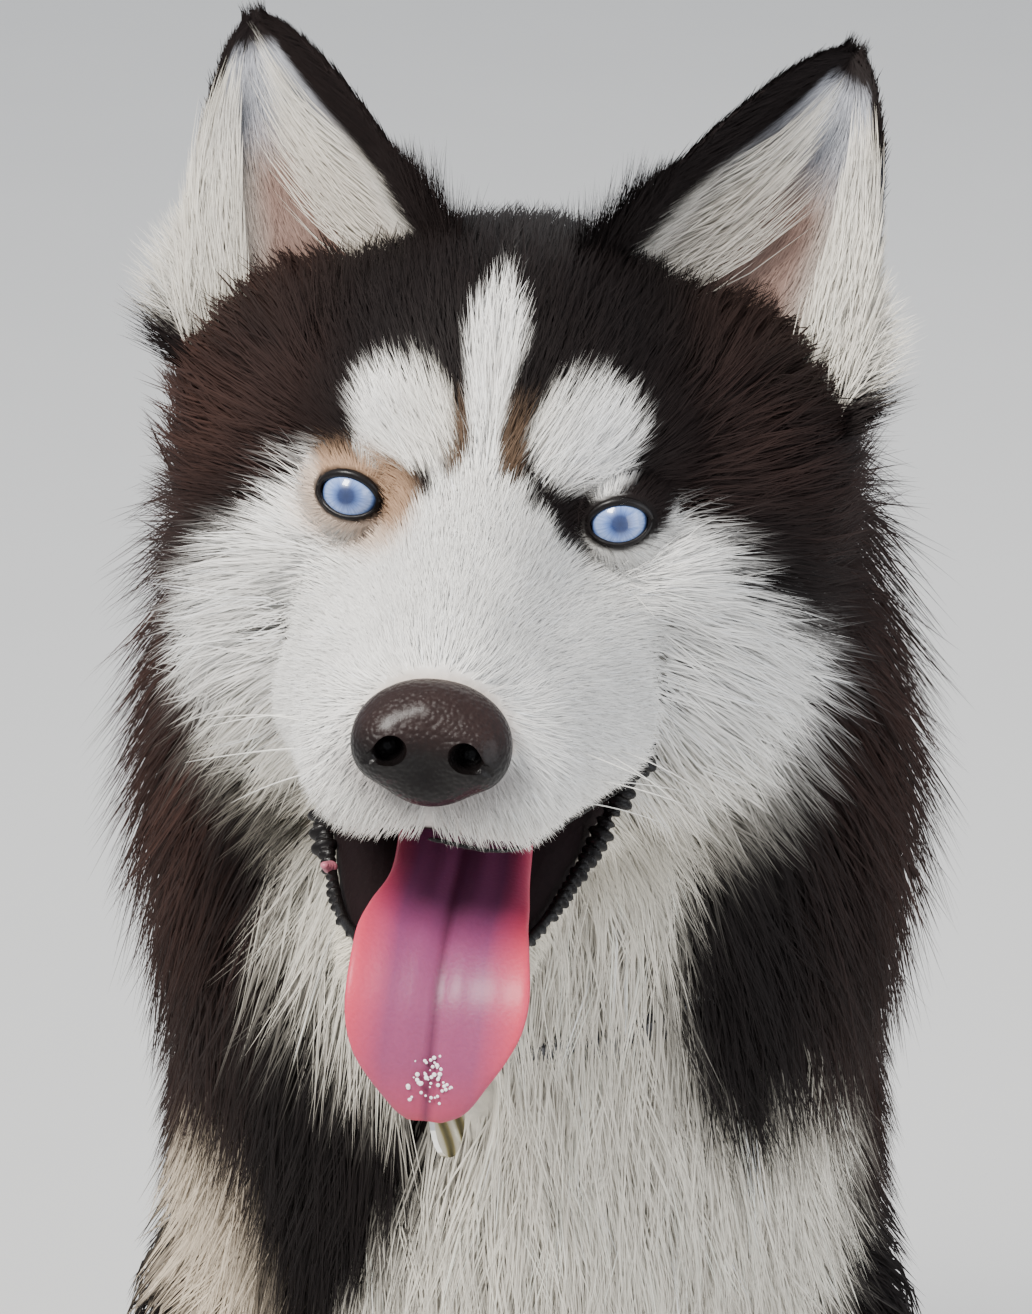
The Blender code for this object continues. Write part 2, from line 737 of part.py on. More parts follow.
def loft(name, rings, frame):
    """A closed skin over rings of equal counts, with a point at each end."""
    bm = bmesh.new()
    rows = [[bm.verts.new(frame @ point) for point in ring] for ring in rings]
    count = len(rows[0])
    for low, high in zip(rows, rows[1:]):
        for i in range(count):
            j = (i + 1) % count
            bm.faces.new((low[i], low[j], high[j], high[i]))
    bm.faces.new(reversed(rows[0]))
    bm.faces.new(rows[-1])
    bmesh.ops.recalc_face_normals(bm, faces=bm.faces)
    return from_bmesh(name, bm)


def make_tongue():
    rings = [tongue_ring(i) for i in range(len(TONGUE_STATIONS))]
    return loft("tongue", rings, HEAD)


# The ears, in the head's frame: where the middle of the base and the tip are, and the cup's shape
EAR_BASE = Vector((0.0560, 0.0520, 0.0460))
EAR_TIPS = {1: Vector((0.0835, 0.0590, 0.1245)), -1: Vector((-0.0790, 0.0590, 0.1185))}
EAR_FACING = Vector((0.30, -0.95, 0.10))
EAR_HALF_WIDTH = 0.0425
EAR_CUP = 0.0230
EAR_THICKNESS = 0.0060
EAR_ROOT = -0.25
EAR_COLUMNS = 8
EAR_ROWS = 9


def ear_width(t):
    """Half the ear's width at a share of its height: full at the base, round at the tip."""
    rounded = math.sqrt(max(0.0, 1.0 - max(t, 0.0) ** 3.0))
    taper = 1.0 - 0.55 * max(t, 0.0)
    return EAR_HALF_WIDTH * max(0.06, rounded * taper)


def make_ear(side):
    base = Vector((side * EAR_BASE.x, EAR_BASE.y, EAR_BASE.z))
    front = Vector((side * EAR_FACING.x, EAR_FACING.y, EAR_FACING.z))
    up = (EAR_TIPS[side] - base).normalized()
    across = up.cross(front).normalized()
    front = across.cross(up).normalized()
    height = (EAR_TIPS[side] - base).length
    bm = bmesh.new()
    rows = []
    for r in range(EAR_ROWS + 1):
        t = EAR_ROOT + (1 - EAR_ROOT) * r / EAR_ROWS
        width = ear_width(t)
        cup = EAR_CUP * (1 - 0.85 * max(t, 0.0))
        row = []
        for c in range(EAR_COLUMNS + 1):
            u = 2 * c / EAR_COLUMNS - 1
            point = base + up * (t * height) + across * (u * width)
            point += front * (cup * (u * u - 1))
            row.append(bm.verts.new(HEAD @ point))
        rows.append(row)
    for low, high in zip(rows, rows[1:]):
        for i in range(EAR_COLUMNS):
            bm.faces.new((low[i], low[i + 1], high[i + 1], high[i]))
    ear = from_bmesh("ear", bm)
    thick = ear.modifiers.new("thickness", "SOLIDIFY")
    thick.thickness = EAR_THICKNESS
    thick.offset = 0.0
    apply_modifiers(ear)
    bm = bmesh.new()
    bm.from_mesh(ear.data)
    bmesh.ops.recalc_face_normals(bm, faces=bm.faces)
    bm.to_mesh(ear.data)
    bm.free()
    return ear


# The collar is a flat band in a narrow parting of the ruff, lower at the throat than at the nape
COLLAR_CENTRE = Vector((0.0, 0.030, 0.600))
COLLAR_TILT = math.radians(22.0)
COLLAR_RADII = (0.0820, 0.0960)
COLLAR_WIDTH = 0.0120
COLLAR_DEPTH = 0.0030
COLLAR_FRAME = Matrix.Translation(COLLAR_CENTRE) @ Matrix.Rotation(COLLAR_TILT, 4, "X")
PARTING_WIDTH = 0.0130
PARTING_REACH = 0.2500
BAND_STEPS = 36


def turned_band(inner, outer, width, frame):
    """An oval band around the frame's Z, from the inner radii to the outer ones."""
    bm = bmesh.new()
    rows = []
    for i in range(BAND_STEPS):
        angle = 2 * math.pi * i / BAND_STEPS
        row = []
        for radii, high in ((inner, -0.5), (outer, -0.5), (outer, 0.5), (inner, 0.5)):
            place = (radii[0] * math.cos(angle), radii[1] * math.sin(angle), high * width)
            row.append(bm.verts.new(frame @ Vector(place)))
        rows.append(row)
    for near, ahead in zip(rows, rows[1:] + rows[:1]):
        for i in range(4):
            j = (i + 1) % 4
            bm.faces.new((near[i], near[j], ahead[j], ahead[i]))
    bmesh.ops.recalc_face_normals(bm, faces=bm.faces)
    return from_bmesh("band", bm)


def make_collar():
    outer = tuple(radius + COLLAR_DEPTH for radius in COLLAR_RADII)
    return turned_band(COLLAR_RADII, outer, COLLAR_WIDTH, COLLAR_FRAME)


def collar_parting():
    inner = tuple(radius - GAP for radius in COLLAR_RADII)
    outer = (PARTING_REACH, PARTING_REACH)
    return turned_band(inner, outer, PARTING_WIDTH, COLLAR_FRAME)


def collar_space():
    """The collar with a thin gap all round it."""
    inner = tuple(radius - GAP for radius in COLLAR_RADII)
    outer = tuple(radius + COLLAR_DEPTH + GAP for radius in COLLAR_RADII)
    return turned_band(inner, outer, COLLAR_WIDTH + 2 * GAP, COLLAR_FRAME)


# A wire ring goes round the collar's front, and the tag hangs from it, nearly edge-on to the viewer
RING_RADIUS = 0.0085
RING_WIRE = 0.0009
RING_STEPS = 20
RING_TURN = math.radians(24.0)
HANG_LEAN = math.radians(34.0)
HANG = Vector((0.0, -math.sin(HANG_LEAN), -math.cos(HANG_LEAN)))
RING_ROUND = math.radians(-17.0)
RING_CENTRE = (
    COLLAR_FRAME
    @ Vector(
        (
            math.sin(RING_ROUND) * (COLLAR_RADII[0] + COLLAR_DEPTH / 2),
            -math.cos(RING_ROUND) * (COLLAR_RADII[1] + COLLAR_DEPTH / 2),
            0.0,
        )
    )
    + HANG * 0.0012
)
TAG_RADII = (0.0105, 0.0125)
TAG_DEPTH = 0.0016
TAG_TURN = math.radians(66.0)
TAG_HOLE = 0.0026
TAG_HOLE_HEIGHT = 0.0085
TAG_BEVEL = 0.0004


def make_ring(wire=RING_WIRE):
    circle = bpy.data.curves.new("ring", "CURVE")
    circle.dimensions = "3D"
    circle.bevel_depth = wire
    circle.bevel_resolution = 1
    spline = circle.splines.new("POLY")
    spline.points.add(RING_STEPS - 1)
    spline.use_cyclic_u = True
    turn = Matrix.Translation(RING_CENTRE) @ Matrix.Rotation(RING_TURN, 4, "Z")
    for i, node in enumerate(spline.points):
        angle = 2 * math.pi * i / RING_STEPS
        place = Vector((0.0, RING_RADIUS * math.cos(angle), RING_RADIUS * math.sin(angle)))
        node.co = (*(turn @ place), 1.0)
    return meshed(circle)


def tag_frame():
    """The tag's frame: its own Y is the way through it, and its Z is up along the lean."""
    lowest = Matrix.Rotation(RING_TURN, 3, "Z") @ HANG * RING_RADIUS
    hole = RING_CENTRE + lowest + HANG * (TAG_HOLE - RING_WIRE - 0.0007)
    lean = Matrix.Rotation(-HANG_LEAN, 4, "X")
    place = hole + HANG * TAG_HOLE_HEIGHT
    return Matrix.Translation(place) @ lean @ Matrix.Rotation(TAG_TURN, 4, "Z")


def make_tag(margin=0.0):
    frame = tag_frame()
    upright = Matrix.Rotation(math.radians(90), 4, "X")
    bm = bmesh.new()
    size = Matrix.Diagonal((TAG_RADII[0] + margin, TAG_RADII[1] + margin, 1.0, 1.0))
    bmesh.ops.create_cone(
        bm,
        cap_ends=True,
        segments=28,
        radius1=1.0,
        radius2=1.0,
        depth=TAG_DEPTH + 2 * margin,
        matrix=frame @ upright @ size,
    )
    tag = from_bmesh("tag", bm)
    if margin:
        return tag
    bm = bmesh.new()
    place = Matrix.Translation((0, 0, TAG_HOLE_HEIGHT))
    bmesh.ops.create_cone(
        bm,
        cap_ends=True,
        segments=12,
        radius1=TAG_HOLE,
        radius2=TAG_HOLE,
        depth=0.01,
        matrix=frame @ place @ upright,
    )
    return boolean(tag, "DIFFERENCE", from_bmesh("hole", bm))


# What each part looks like: colour, roughness and how metallic it is
LOOKS = {
    "head": ("coat_head", (0.72, 0.69, 0.64), 0.9, 0.0),
    "neck": ("coat_ruff", (0.62, 0.59, 0.55), 0.9, 0.0),
    "torso": ("coat_body", (0.10, 0.08, 0.07), 0.9, 0.0),
    "foreleg": ("coat_foreleg", (0.78, 0.76, 0.72), 0.9, 0.0),
    "hindleg": ("coat_hindleg", (0.55, 0.52, 0.48), 0.9, 0.0),
    "tail": ("coat_tail", (0.14, 0.11, 0.09), 0.9, 0.0),
    "ear": ("coat_ear", (0.12, 0.09, 0.08), 0.9, 0.0),
    "nose": ("nose_leather", (0.05, 0.035, 0.035), 0.35, 0.0),
    "tongue": ("tongue_flesh", (0.72, 0.30, 0.38), 0.3, 0.0),
    "eye": ("eye_iris", (0.45, 0.62, 0.85), 0.1, 0.0),
    "collar": ("collar_webbing", (0.25, 0.25, 0.26), 0.7, 0.0),
    "tag_ring": ("ring_steel", (0.70, 0.70, 0.68), 0.25, 1.0),
    "tag": ("tag_steel", (0.72, 0.68, 0.55), 0.2, 1.0),
}
ROUND = ("eye", "nose", "tongue", "tag_ring", "ear")


def look_of(node):
    return LOOKS[node] if node in LOOKS else LOOKS[node.rsplit("_", 1)[0]]


def give_material(obj):
    slot, colour, roughness, metallic = look_of(obj.name)
    material = bpy.data.materials.get(slot) or bpy.data.materials.new(slot)
    material.use_nodes = True
    shader = material.node_tree.nodes["Principled BSDF"]
    shader.inputs["Base Color"].default_value = (*colour, 1.0)
    shader.inputs["Roughness"].default_value = roughness
    shader.inputs["Metallic"].default_value = metallic
    obj.data.materials.clear()
    obj.data.materials.append(material)


def centred(parts):
    """The middle of the whole bounding box is moved over the origin."""
    points = [vertex.co for obj in parts for vertex in obj.data.vertices]
    middle = [(min(p[k] for p in points) + max(p[k] for p in points)) / 2 for k in (0, 1)]
    shift = Matrix.Translation((-middle[0], -middle[1], 0.0))
    for obj in parts:
        obj.data.transform(shift)


def make_head():
    head = flesh("head", HEAD_PARTS, BODY, HEAD_VOXEL, HEAD_TRIANGLES * 2)
    boolean(head, "INTERSECT", beyond(HEAD_CUT))
    reduced(largest_surface(head), HEAD_TRIANGLES)
    add_lips(head)
    for side in (1, -1):
        open_eye(head, side)
    return head


# The way the coat lies: places on the left half of the body and the hair's direction there
LIE = [
    ((0.000, -0.060, 0.600), (0.00, -0.30, -1.00)),
    ((0.060, -0.030, 0.630), (0.55, -0.25, -1.00)),
    ((0.100, 0.030, 0.640), (0.55, 0.25, -1.00)),
    ((0.100, 0.050, 0.540), (0.15, 0.25, -1.00)),
    ((0.000, 0.140, 0.640), (0.00, 0.70, -1.00)),
    ((0.050, 0.130, 0.660), (0.50, 0.60, -1.00)),
    ((0.000, 0.240, 0.520), (0.00, 0.85, -1.00)),
    ((0.000, 0.400, 0.300), (0.00, 0.40, -1.00)),
    ((0.110, 0.200, 0.400), (0.05, 0.60, -1.00)),
    ((0.140, 0.330, 0.200), (0.10, 0.80, -0.70)),
    ((0.000, -0.030, 0.430), (0.00, -0.05, -1.00)),
    ((0.000, 0.460, 0.100), (0.00, 0.60, -0.80)),
]
LIE_POWER = 3.0
CHEEK_FALL = Vector((0.0, 0.5, -0.7))
NOSE_PLACE = Vector((0.0, -0.095, -0.042))


def body_lie(points):
    """The coat's direction on the neck, the trunk and the legs, blended from the places around."""
    sides = np.where(points[:, 0] < 0, -1.0, 1.0)
    at = points.copy()
    at[:, 0] *= sides
    places = np.array([place for place, _ in LIE])
    ways = unit(np.array([way for _, way in LIE]))
    gaps = np.linalg.norm(at[:, None] - places[None], axis=2)
    weights = 1.0 / np.maximum(gaps, 0.01) ** LIE_POWER
    found = weights @ ways
    found[:, 0] *= sides
    return unit(found)


def cheek_lie(points):
    """On the head the coat runs away from the nose, and falls back at the cheeks."""
    nose = np.array(HEAD @ NOSE_PLACE)
    fall = np.array(HEAD.to_3x3() @ CHEEK_FALL)
    return unit(unit(points - nose) + fall)


def tail_lie(points):
    """Along the tail the coat runs to its tip."""
    line = np.array(TAIL_LINE)
    middles = (line[:-1] + line[1:]) / 2
    ways = unit(line[1:] - line[:-1])
    gaps = np.linalg.norm(points[:, None] - middles[None], axis=2)
    return unit((1.0 / np.maximum(gaps, 0.01) ** 4) @ ways)


# The sizes of lock: length, half width, half thickness, how deep the root is sunk, and the
# distance between roots
LOCK_SIZES = {
    "cheek": (0.050, 0.0140, 0.0045, 0.010, 0.024),
    "ruff": (0.090, 0.0240, 0.0075, 0.016, 0.041),
    "body": (0.108, 0.0340, 0.0085, 0.018, 0.064),
    "breech": (0.084, 0.0280, 0.0075, 0.014, 0.056),
    "plume": (0.088, 0.0200, 0.0075, 0.010, 0.043),
}
LOCKS = {
    "head": ("cheek", cheek_lie),
    "neck": ("ruff", body_lie),
    "torso": ("body", body_lie),
    "hindleg_left": ("breech", body_lie),
    "hindleg_right": ("breech", body_lie),
    "tail_root": ("plume", tail_lie),
    "tail_middle": ("plume", tail_lie),
    "tail_tip": ("plume", tail_lie),
}
# Along a lock: the share of its length, its level in the coat, and shares of its width and thickness
LOCK_STATIONS = [
    (0.00, 1.00, 0.80, 1.00),
    (0.34, 1.55, 1.00, 1.00),
    (0.70, 1.92, 0.72, 0.70),
    (1.00, 1.97, 0.00, 0.00),
]
LOCK_TURN = 0.30
LOCK_CURL = 0.35
LOCK_LENGTHS = (0.80, 1.20)
LOCK_FITS = (1.0, 0.75, 0.5)
TRIALS = 30
DEEP_COAT = 0.006
ON_SURFACE = 0.004
ROOT_ROOM = 0.25
STRAIGHT = 0.45
CLEAR = 0.0012
LIFT = 0.0080
# How far locks hang over the next part: over the neck, over the torso and over the legs
HEAD_OVERHANG = 0.0080
NECK_OVERHANG = 0.0240
SIDE_OVERHANG = 0.0120
TAIL_OVERHANG = 0.0160
CHEEK_FROM = (0.048, 0.040, 0.045)
EAR_CLEARANCE = 0.0290


def block_room(points, corners):
    """How far each point is outside a block of the left side or its twin, negative inside it."""
    low, high = np.array(corners[0]), np.array(corners[1])
    at = points.copy()
    at[:, 0] = np.abs(at[:, 0])
    past = np.abs(at - (low + high) / 2) - (high - low) / 2
    outside = np.linalg.norm(np.maximum(past, 0.0), axis=1)
    return outside + np.minimum(past.max(axis=1), 0.0)


def line_room(points, start, end, radius):
    return Limb(start, end, (radius, radius)).distance(points, SKIN)


def plane_room(points, cut):
    """How far each point is beyond a cut."""
    point, normal = (np.array(value) for value in cut)
    return (points - point) @ normal


def trim_room(points):
    """How far each point is from the collar, the ring and the tag, and from the floor."""
    inverse = np.array(COLLAR_FRAME.inverted())
    at = points @ inverse[:3, :3].T + inverse[:3, 3]
    radii = np.array(COLLAR_RADII) + COLLAR_DEPTH / 2
    round_it = np.linalg.norm(at[:, :2] / radii, axis=1)
    nearest = (1.0 - 1.0 / np.maximum(round_it, 1e-6)) * np.linalg.norm(at[:, :2], axis=1)
    aside = np.maximum(np.abs(at[:, 2]) - COLLAR_WIDTH / 2, 0.0)
    collar = np.hypot(nearest, aside) - COLLAR_DEPTH
    tag = line_room(points, RING_CENTRE, tag_frame().translation, TAG_RADII[1] + 0.002)
    return np.minimum.reduce([collar, tag, points[:, 2] - FLOOR])


def ear_room(points):
    found = []
    for side in (1, -1):
        start = HEAD @ Vector((side * EAR_BASE.x, EAR_BASE.y, EAR_BASE.z))
        found.append(line_room(points, start, HEAD @ EAR_TIPS[side], EAR_CLEARANCE))
    return np.minimum(*found)


def hanging(near, overhang, above):
    """The space on the near side, and a strip past it for locks that hang clear over the next core."""
    return np.maximum(near, np.minimum(near + overhang, above))


def tail_room(points, node):
    """The stretch of the tail that a node's locks may fill; they hang a little over the next one."""
    above = TAIL.distance(points, CORE) - LIFT
    root_end, middle_end = (plane_room(points, cut) for cut in TAIL_CUTS)
    if node == "tail_root":
        return [hanging(-root_end, TAIL_OVERHANG, above)]
    if node == "tail_middle":
        return [root_end - TAIL_OVERHANG, hanging(-middle_end, TAIL_OVERHANG, above)]
    return [middle_end - TAIL_OVERHANG]


def room(points, node):
    """How far each point is inside the space that a node may fill, negative outside it."""
    found = [trim_room(points)]
    above = field(points, BODY, CORE) - LIFT
    blocks = [block_room(points, corners) for corners in (*HINDLEG_BLOCKS, FORELEG_BLOCK)]
    if node == "head":
        near = plane_room(points, HEAD_CUT)
        found += [hanging(near, HEAD_OVERHANG, above), ear_room(points)]
    if node == "neck":
        near = plane_room(points, NECK_CUT)
        found += [hanging(near, NECK_OVERHANG, above), ear_room(points)]
        found += [-HEAD_OVERHANG - plane_room(points, HEAD_CUT)]
    if node == "torso":
        found += [-NECK_OVERHANG - plane_room(points, NECK_CUT), TAIL.distance(points, CORE)]
        found += [hanging(near, SIDE_OVERHANG, above) for near in blocks]
    if node.startswith("hindleg"):
        found += [-SIDE_OVERHANG - blocks[0], TAIL.distance(points, TIPS)]
    if node.startswith("tail"):
        found += [field(points, BODY, CORE) - 0.004]
        found += [block_room(points, TAIL_SPACE)]
        found += tail_room(points, node)
    return np.minimum.reduce(found)


def scatter(obj, node, groups, spacing, rng):
    """Places on the coat's core, spread evenly over the node's own skin where the coat is deep."""
    mesh = obj.data
    mesh.calc_loop_triangles()
    corners = np.array([[mesh.vertices[i].co for i in t.vertices] for t in mesh.loop_triangles])
    sides = np.cross(corners[:, 1] - corners[:, 0], corners[:, 2] - corners[:, 0])
    areas = np.linalg.norm(sides, axis=1)
    count = int(TRIALS * areas.sum() / 2 / spacing**2)
    chosen = corners[rng.choice(len(corners), count, p=areas / areas.sum())]
    shares = rng.dirichlet((1, 1, 1), count)
    points = (chosen * shares[:, :, None]).sum(axis=1)
    good = np.abs(field(points, groups, CORE)) < ON_SURFACE
    good &= field(points, groups, TIPS) < -DEEP_COAT
    good &= room(points, node) > CLEAR + ROOT_ROOM * spacing
    if node == "head":
        local = np.array([tuple(HEAD.inverted() @ Vector(point)) for point in points])
        good &= np.abs(local[:, 0]) > CHEEK_FROM[0]
        good &= (local[:, 1] > CHEEK_FROM[1]) & (local[:, 2] < CHEEK_FROM[2])
    kept = []
    for point in points[good]:
        if all(np.linalg.norm(point - other) > spacing for other in kept):
            kept.append(point)
    return np.array(kept)


def lock_shapes(roots, groups, lie, size, lengths, turns, curls):
    """The cross-sections of the locks: an edge, the ridge and the other edge at each station."""
    length, width, thick, sunk, _ = size
    at = settled(roots, groups, CORE, 2)
    rows = []
    before = 0.0
    for share, level, wide, deep in LOCK_STATIONS:
        _, rise = slope(at, groups, level)
        normal = unit(rise)
        way = lie(at)
        way = unit(way - normal * (way * normal).sum(axis=1, keepdims=True))
        aside = np.cross(normal, way)
        way = unit(way + aside * (turns + curls * share)[:, None])
        at = settled(at + way * (lengths * length * (share - before))[:, None], groups, level, 2)
        before = share
        aside = np.cross(normal, way)
        row = []
        for across, up in ((-1, 0), (0, 1), (1, 0)):
            point = at + aside * (across * wide * width)
            if across:
                point = settled(point, groups, level, 1)
            point = point + normal * (up * deep * thick)
            row.append(point - normal * (sunk if share == 0 else 0.0))
        rows.append(np.stack(row, axis=1))
    return np.stack(rows, axis=1)


def lock_mesh(rows):
    """A closed mesh over a lock's cross-sections; the last one is its tip."""
    bm = bmesh.new()
    rings = [[bm.verts.new(point) for point in row] for row in rows[:-1]]
    tip = bm.verts.new(rows[-1].mean(axis=0))
    sides = len(rings[0])
    for low, high in zip(rings, rings[1:]):
        for i in range(sides):
            j = (i + 1) % sides
            bm.faces.new((low[i], low[j], high[j], high[i]))
    for i in range(sides):
        bm.faces.new((rings[-1][i], rings[-1][(i + 1) % sides], tip))
    bm.faces.new(reversed(rings[0]))
    bmesh.ops.triangulate(bm, faces=bm.faces)
    bmesh.ops.recalc_face_normals(bm, faces=bm.faces)
    return from_bmesh("lock", bm)


def sound(shapes, size):
    """Which locks are whole: their ridges stand over their edges and no stretch is folded back."""
    middles = (shapes[:, :, 0] + shapes[:, :, 2]) / 2
    across = shapes[:, :-1, 2] - shapes[:, :-1, 0]
    runs = middles[:, 1:] - middles[:, :-1]
    bends = (unit(runs[:, 1:]) * unit(runs[:, :-1])).sum(axis=2)
    turns = (unit(across[:, 1:]) * unit(across[:, :-1])).sum(axis=2)
    spans = np.linalg.norm(across, axis=2)
    wide = (spans > size[1] * 0.6).all(axis=1)
    return wide & (bends > STRAIGHT).all(axis=1) & (turns > STRAIGHT).all(axis=1)


def add_locks(obj, node, seed):
    """The node's coat of overlapping locks, each short enough to stay in the node's own space."""
    kind, lie = LOCKS[node]
    size = LOCK_SIZES[kind]
    groups = [TAIL] if node.startswith("tail") else BODY
    rng = np.random.default_rng(seed)
    roots = scatter(obj, node, groups, size[-1], rng)
    lengths = rng.uniform(*LOCK_LENGTHS, len(roots))
    turns = rng.uniform(-LOCK_TURN, LOCK_TURN, len(roots))
    curls = rng.uniform(-LOCK_CURL, LOCK_CURL, len(roots))
    locks = []
    waiting = np.arange(len(roots))
    for fit in LOCK_FITS:
        if not len(waiting):
            break
        shapes = lock_shapes(
            roots[waiting], groups, lie, size, lengths[waiting] * fit, turns[waiting], curls[waiting]
        )
        flat = room(shapes.reshape(-1, 3), node).reshape(len(waiting), -1)
        fits = (flat.min(axis=1) > CLEAR) & sound(shapes, size)
        locks += [lock_mesh(rows) for rows in shapes[fits]]
        waiting = waiting[~fits]
    if locks:
        boolean(obj, "UNION", *locks)
    return obj


def main():
    clear_scene()
    parts = cut_body(flesh("body", BODY, BODY, BODY_VOXEL, BODY_TRIANGLES))
    head = make_head()
    nose = make_nose()
    tongue = make_tongue()
    boolean(head, "DIFFERENCE", swollen(nose, GAP))
    boolean(head, "DIFFERENCE", swollen(tongue, GAP))
    parts |= {"head": head, "nose": nose, "tongue": tongue}
    for side, word in ((1, "left"), (-1, "right")):
        parts[f"eye_{word}"] = make_eye(side)
        parts[f"ear_{word}"] = boolean(make_ear(side), "DIFFERENCE", swollen(head, EAR_GAP))
    neck = parts["neck"]
    boolean(neck, "DIFFERENCE", collar_parting())
    parts |= {"collar": make_collar(), "tag_ring": make_ring(), "tag": make_tag()}
    for seed, node in enumerate(LOCKS, SEED):
        add_locks(parts[node], node, seed)
    for space in (collar_space(), make_ring(RING_WIRE + GAP), make_tag(GAP)):
        boolean(neck, "DIFFERENCE", space)
    for name, obj in parts.items():
        obj.name = name
        largest_surface(obj)
        give_material(obj)
        if name.split("_")[0] in ROUND or name in ROUND:
            for face in obj.data.polygons:
                face.use_smooth = True
    centred(list(parts.values()))


main()
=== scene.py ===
import json
import math

import bmesh
import bpy
import numpy as np
from mathutils import Matrix, Vector

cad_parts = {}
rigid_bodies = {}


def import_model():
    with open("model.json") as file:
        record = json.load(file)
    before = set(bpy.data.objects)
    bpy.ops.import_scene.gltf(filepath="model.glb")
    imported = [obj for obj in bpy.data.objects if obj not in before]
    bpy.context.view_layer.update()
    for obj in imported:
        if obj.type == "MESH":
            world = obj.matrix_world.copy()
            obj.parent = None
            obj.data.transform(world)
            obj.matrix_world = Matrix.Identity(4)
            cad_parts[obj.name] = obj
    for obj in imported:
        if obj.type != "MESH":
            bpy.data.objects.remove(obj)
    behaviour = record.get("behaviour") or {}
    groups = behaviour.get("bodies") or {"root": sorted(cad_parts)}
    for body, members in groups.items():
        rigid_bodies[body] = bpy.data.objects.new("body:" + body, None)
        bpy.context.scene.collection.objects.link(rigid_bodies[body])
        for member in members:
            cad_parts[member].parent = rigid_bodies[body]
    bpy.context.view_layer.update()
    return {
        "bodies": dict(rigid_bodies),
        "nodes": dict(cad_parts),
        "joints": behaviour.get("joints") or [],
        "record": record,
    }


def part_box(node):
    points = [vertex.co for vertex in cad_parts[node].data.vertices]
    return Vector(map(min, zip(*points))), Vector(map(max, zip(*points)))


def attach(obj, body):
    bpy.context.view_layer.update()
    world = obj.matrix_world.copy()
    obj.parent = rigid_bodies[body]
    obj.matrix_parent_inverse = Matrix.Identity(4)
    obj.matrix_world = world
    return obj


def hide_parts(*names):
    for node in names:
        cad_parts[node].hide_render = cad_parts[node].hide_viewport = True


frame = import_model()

# A still, life-size model of a sitting husky that looks up and pants: the looks of its coat, face
# and collar. Lengths are metres. The dog faces -Y and its left side is towards +X. The shapes are
# laid out with the spine over the X axis' zero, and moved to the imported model's place at the end.
# The share of the hairs that grow
FEWER = 1.0
SEED = 23
FLOOR = 0.0

EYES = Vector((-0.011, -0.084, 0.742))
HEAD_PITCH = math.radians(14.0)
HEAD_YAW = math.radians(-5.0)
HEAD_ROLL = math.radians(4.0)
HEAD = (
    Matrix.Translation(EYES)
    @ Matrix.Rotation(HEAD_YAW, 4, "Z")
    @ Matrix.Rotation(-HEAD_PITCH, 4, "X")
    @ Matrix.Rotation(HEAD_ROLL, 4, "Y")
)
JAW_HINGE = Vector((0.0, 0.072, -0.040))
JAW_DROP = math.radians(26.0)
JAW_FRAME = (
    HEAD
    @ Matrix.Translation(JAW_HINGE)
    @ Matrix.Rotation(JAW_DROP, 4, "X")
    @ Matrix.Translation(-JAW_HINGE)
)
COLLAR_CENTRE = Vector((0.0, 0.030, 0.600))


def middle(box):
    low, high = box
    return (Vector(low) + Vector(high)) / 2


# The collar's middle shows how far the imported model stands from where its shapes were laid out
SHIFT = middle(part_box("collar")) - COLLAR_CENTRE


# The flesh under the coat: balls and limbs, each with the depth of the coat over it
class Ball:
    """An ellipsoid of flesh: its centre, three radii, turn about X in degrees and coat depth."""

    def __init__(self, centre, radii, turn=0.0, coat=0.0, blend=0.02):
        self.centre = np.array(centre)
        self.radii = np.array(radii)
        self.turn = math.radians(turn)
        self.coat = coat
        self.blend = blend

    def distance(self, points, level):
        radii = self.radii + np.multiply.outer(level, np.full(3, self.coat))
        cos, sin = math.cos(self.turn), math.sin(self.turn)
        at = points - self.centre
        ahead = at[:, 1] * cos + at[:, 2] * sin
        above = at[:, 2] * cos - at[:, 1] * sin
        local = np.stack([at[:, 0], ahead, above], axis=1)
        first = np.linalg.norm(local / radii, axis=1)
        second = np.linalg.norm(local / radii**2, axis=1)
        return first * (first - 1) / np.maximum(second, 1e-6)

    def rough(self):
        turn = Matrix.Rotation(self.turn, 4, "X")
        size = Matrix.Diagonal((*self.radii, 1.0))
        return [Matrix.Translation(self.centre) @ turn @ size]


class Limb:
    """A tapered round limb of flesh between two points, with a radius at each."""

    def __init__(self, start, end, radii, coat=0.0, blend=0.02):
        self.start = np.array(start)
        self.end = np.array(end)
        self.radii = np.array(radii)
        self.coat = coat
        self.blend = blend

    def distance(self, points, level):
        along = self.end - self.start
        share = np.clip((points - self.start) @ along / (along @ along), 0.0, 1.0)
        nearest = self.start + share[:, None] * along
        radius = self.radii[0] + share * (self.radii[1] - self.radii[0])
        return np.linalg.norm(points - nearest, axis=1) - radius - self.coat * level

    def rough(self):
        length = np.linalg.norm(self.end - self.start)
        count = max(2, int(length / (0.4 * self.radii.min())) + 1)
        found = []
        for share in np.linspace(0.0, 1.0, count):
            centre = self.start + share * (self.end - self.start)
            radius = float(self.radii[0] + share * (self.radii[1] - self.radii[0]))
            found.append(Matrix.Translation(centre) @ Matrix.Scale(radius, 4))
        return found


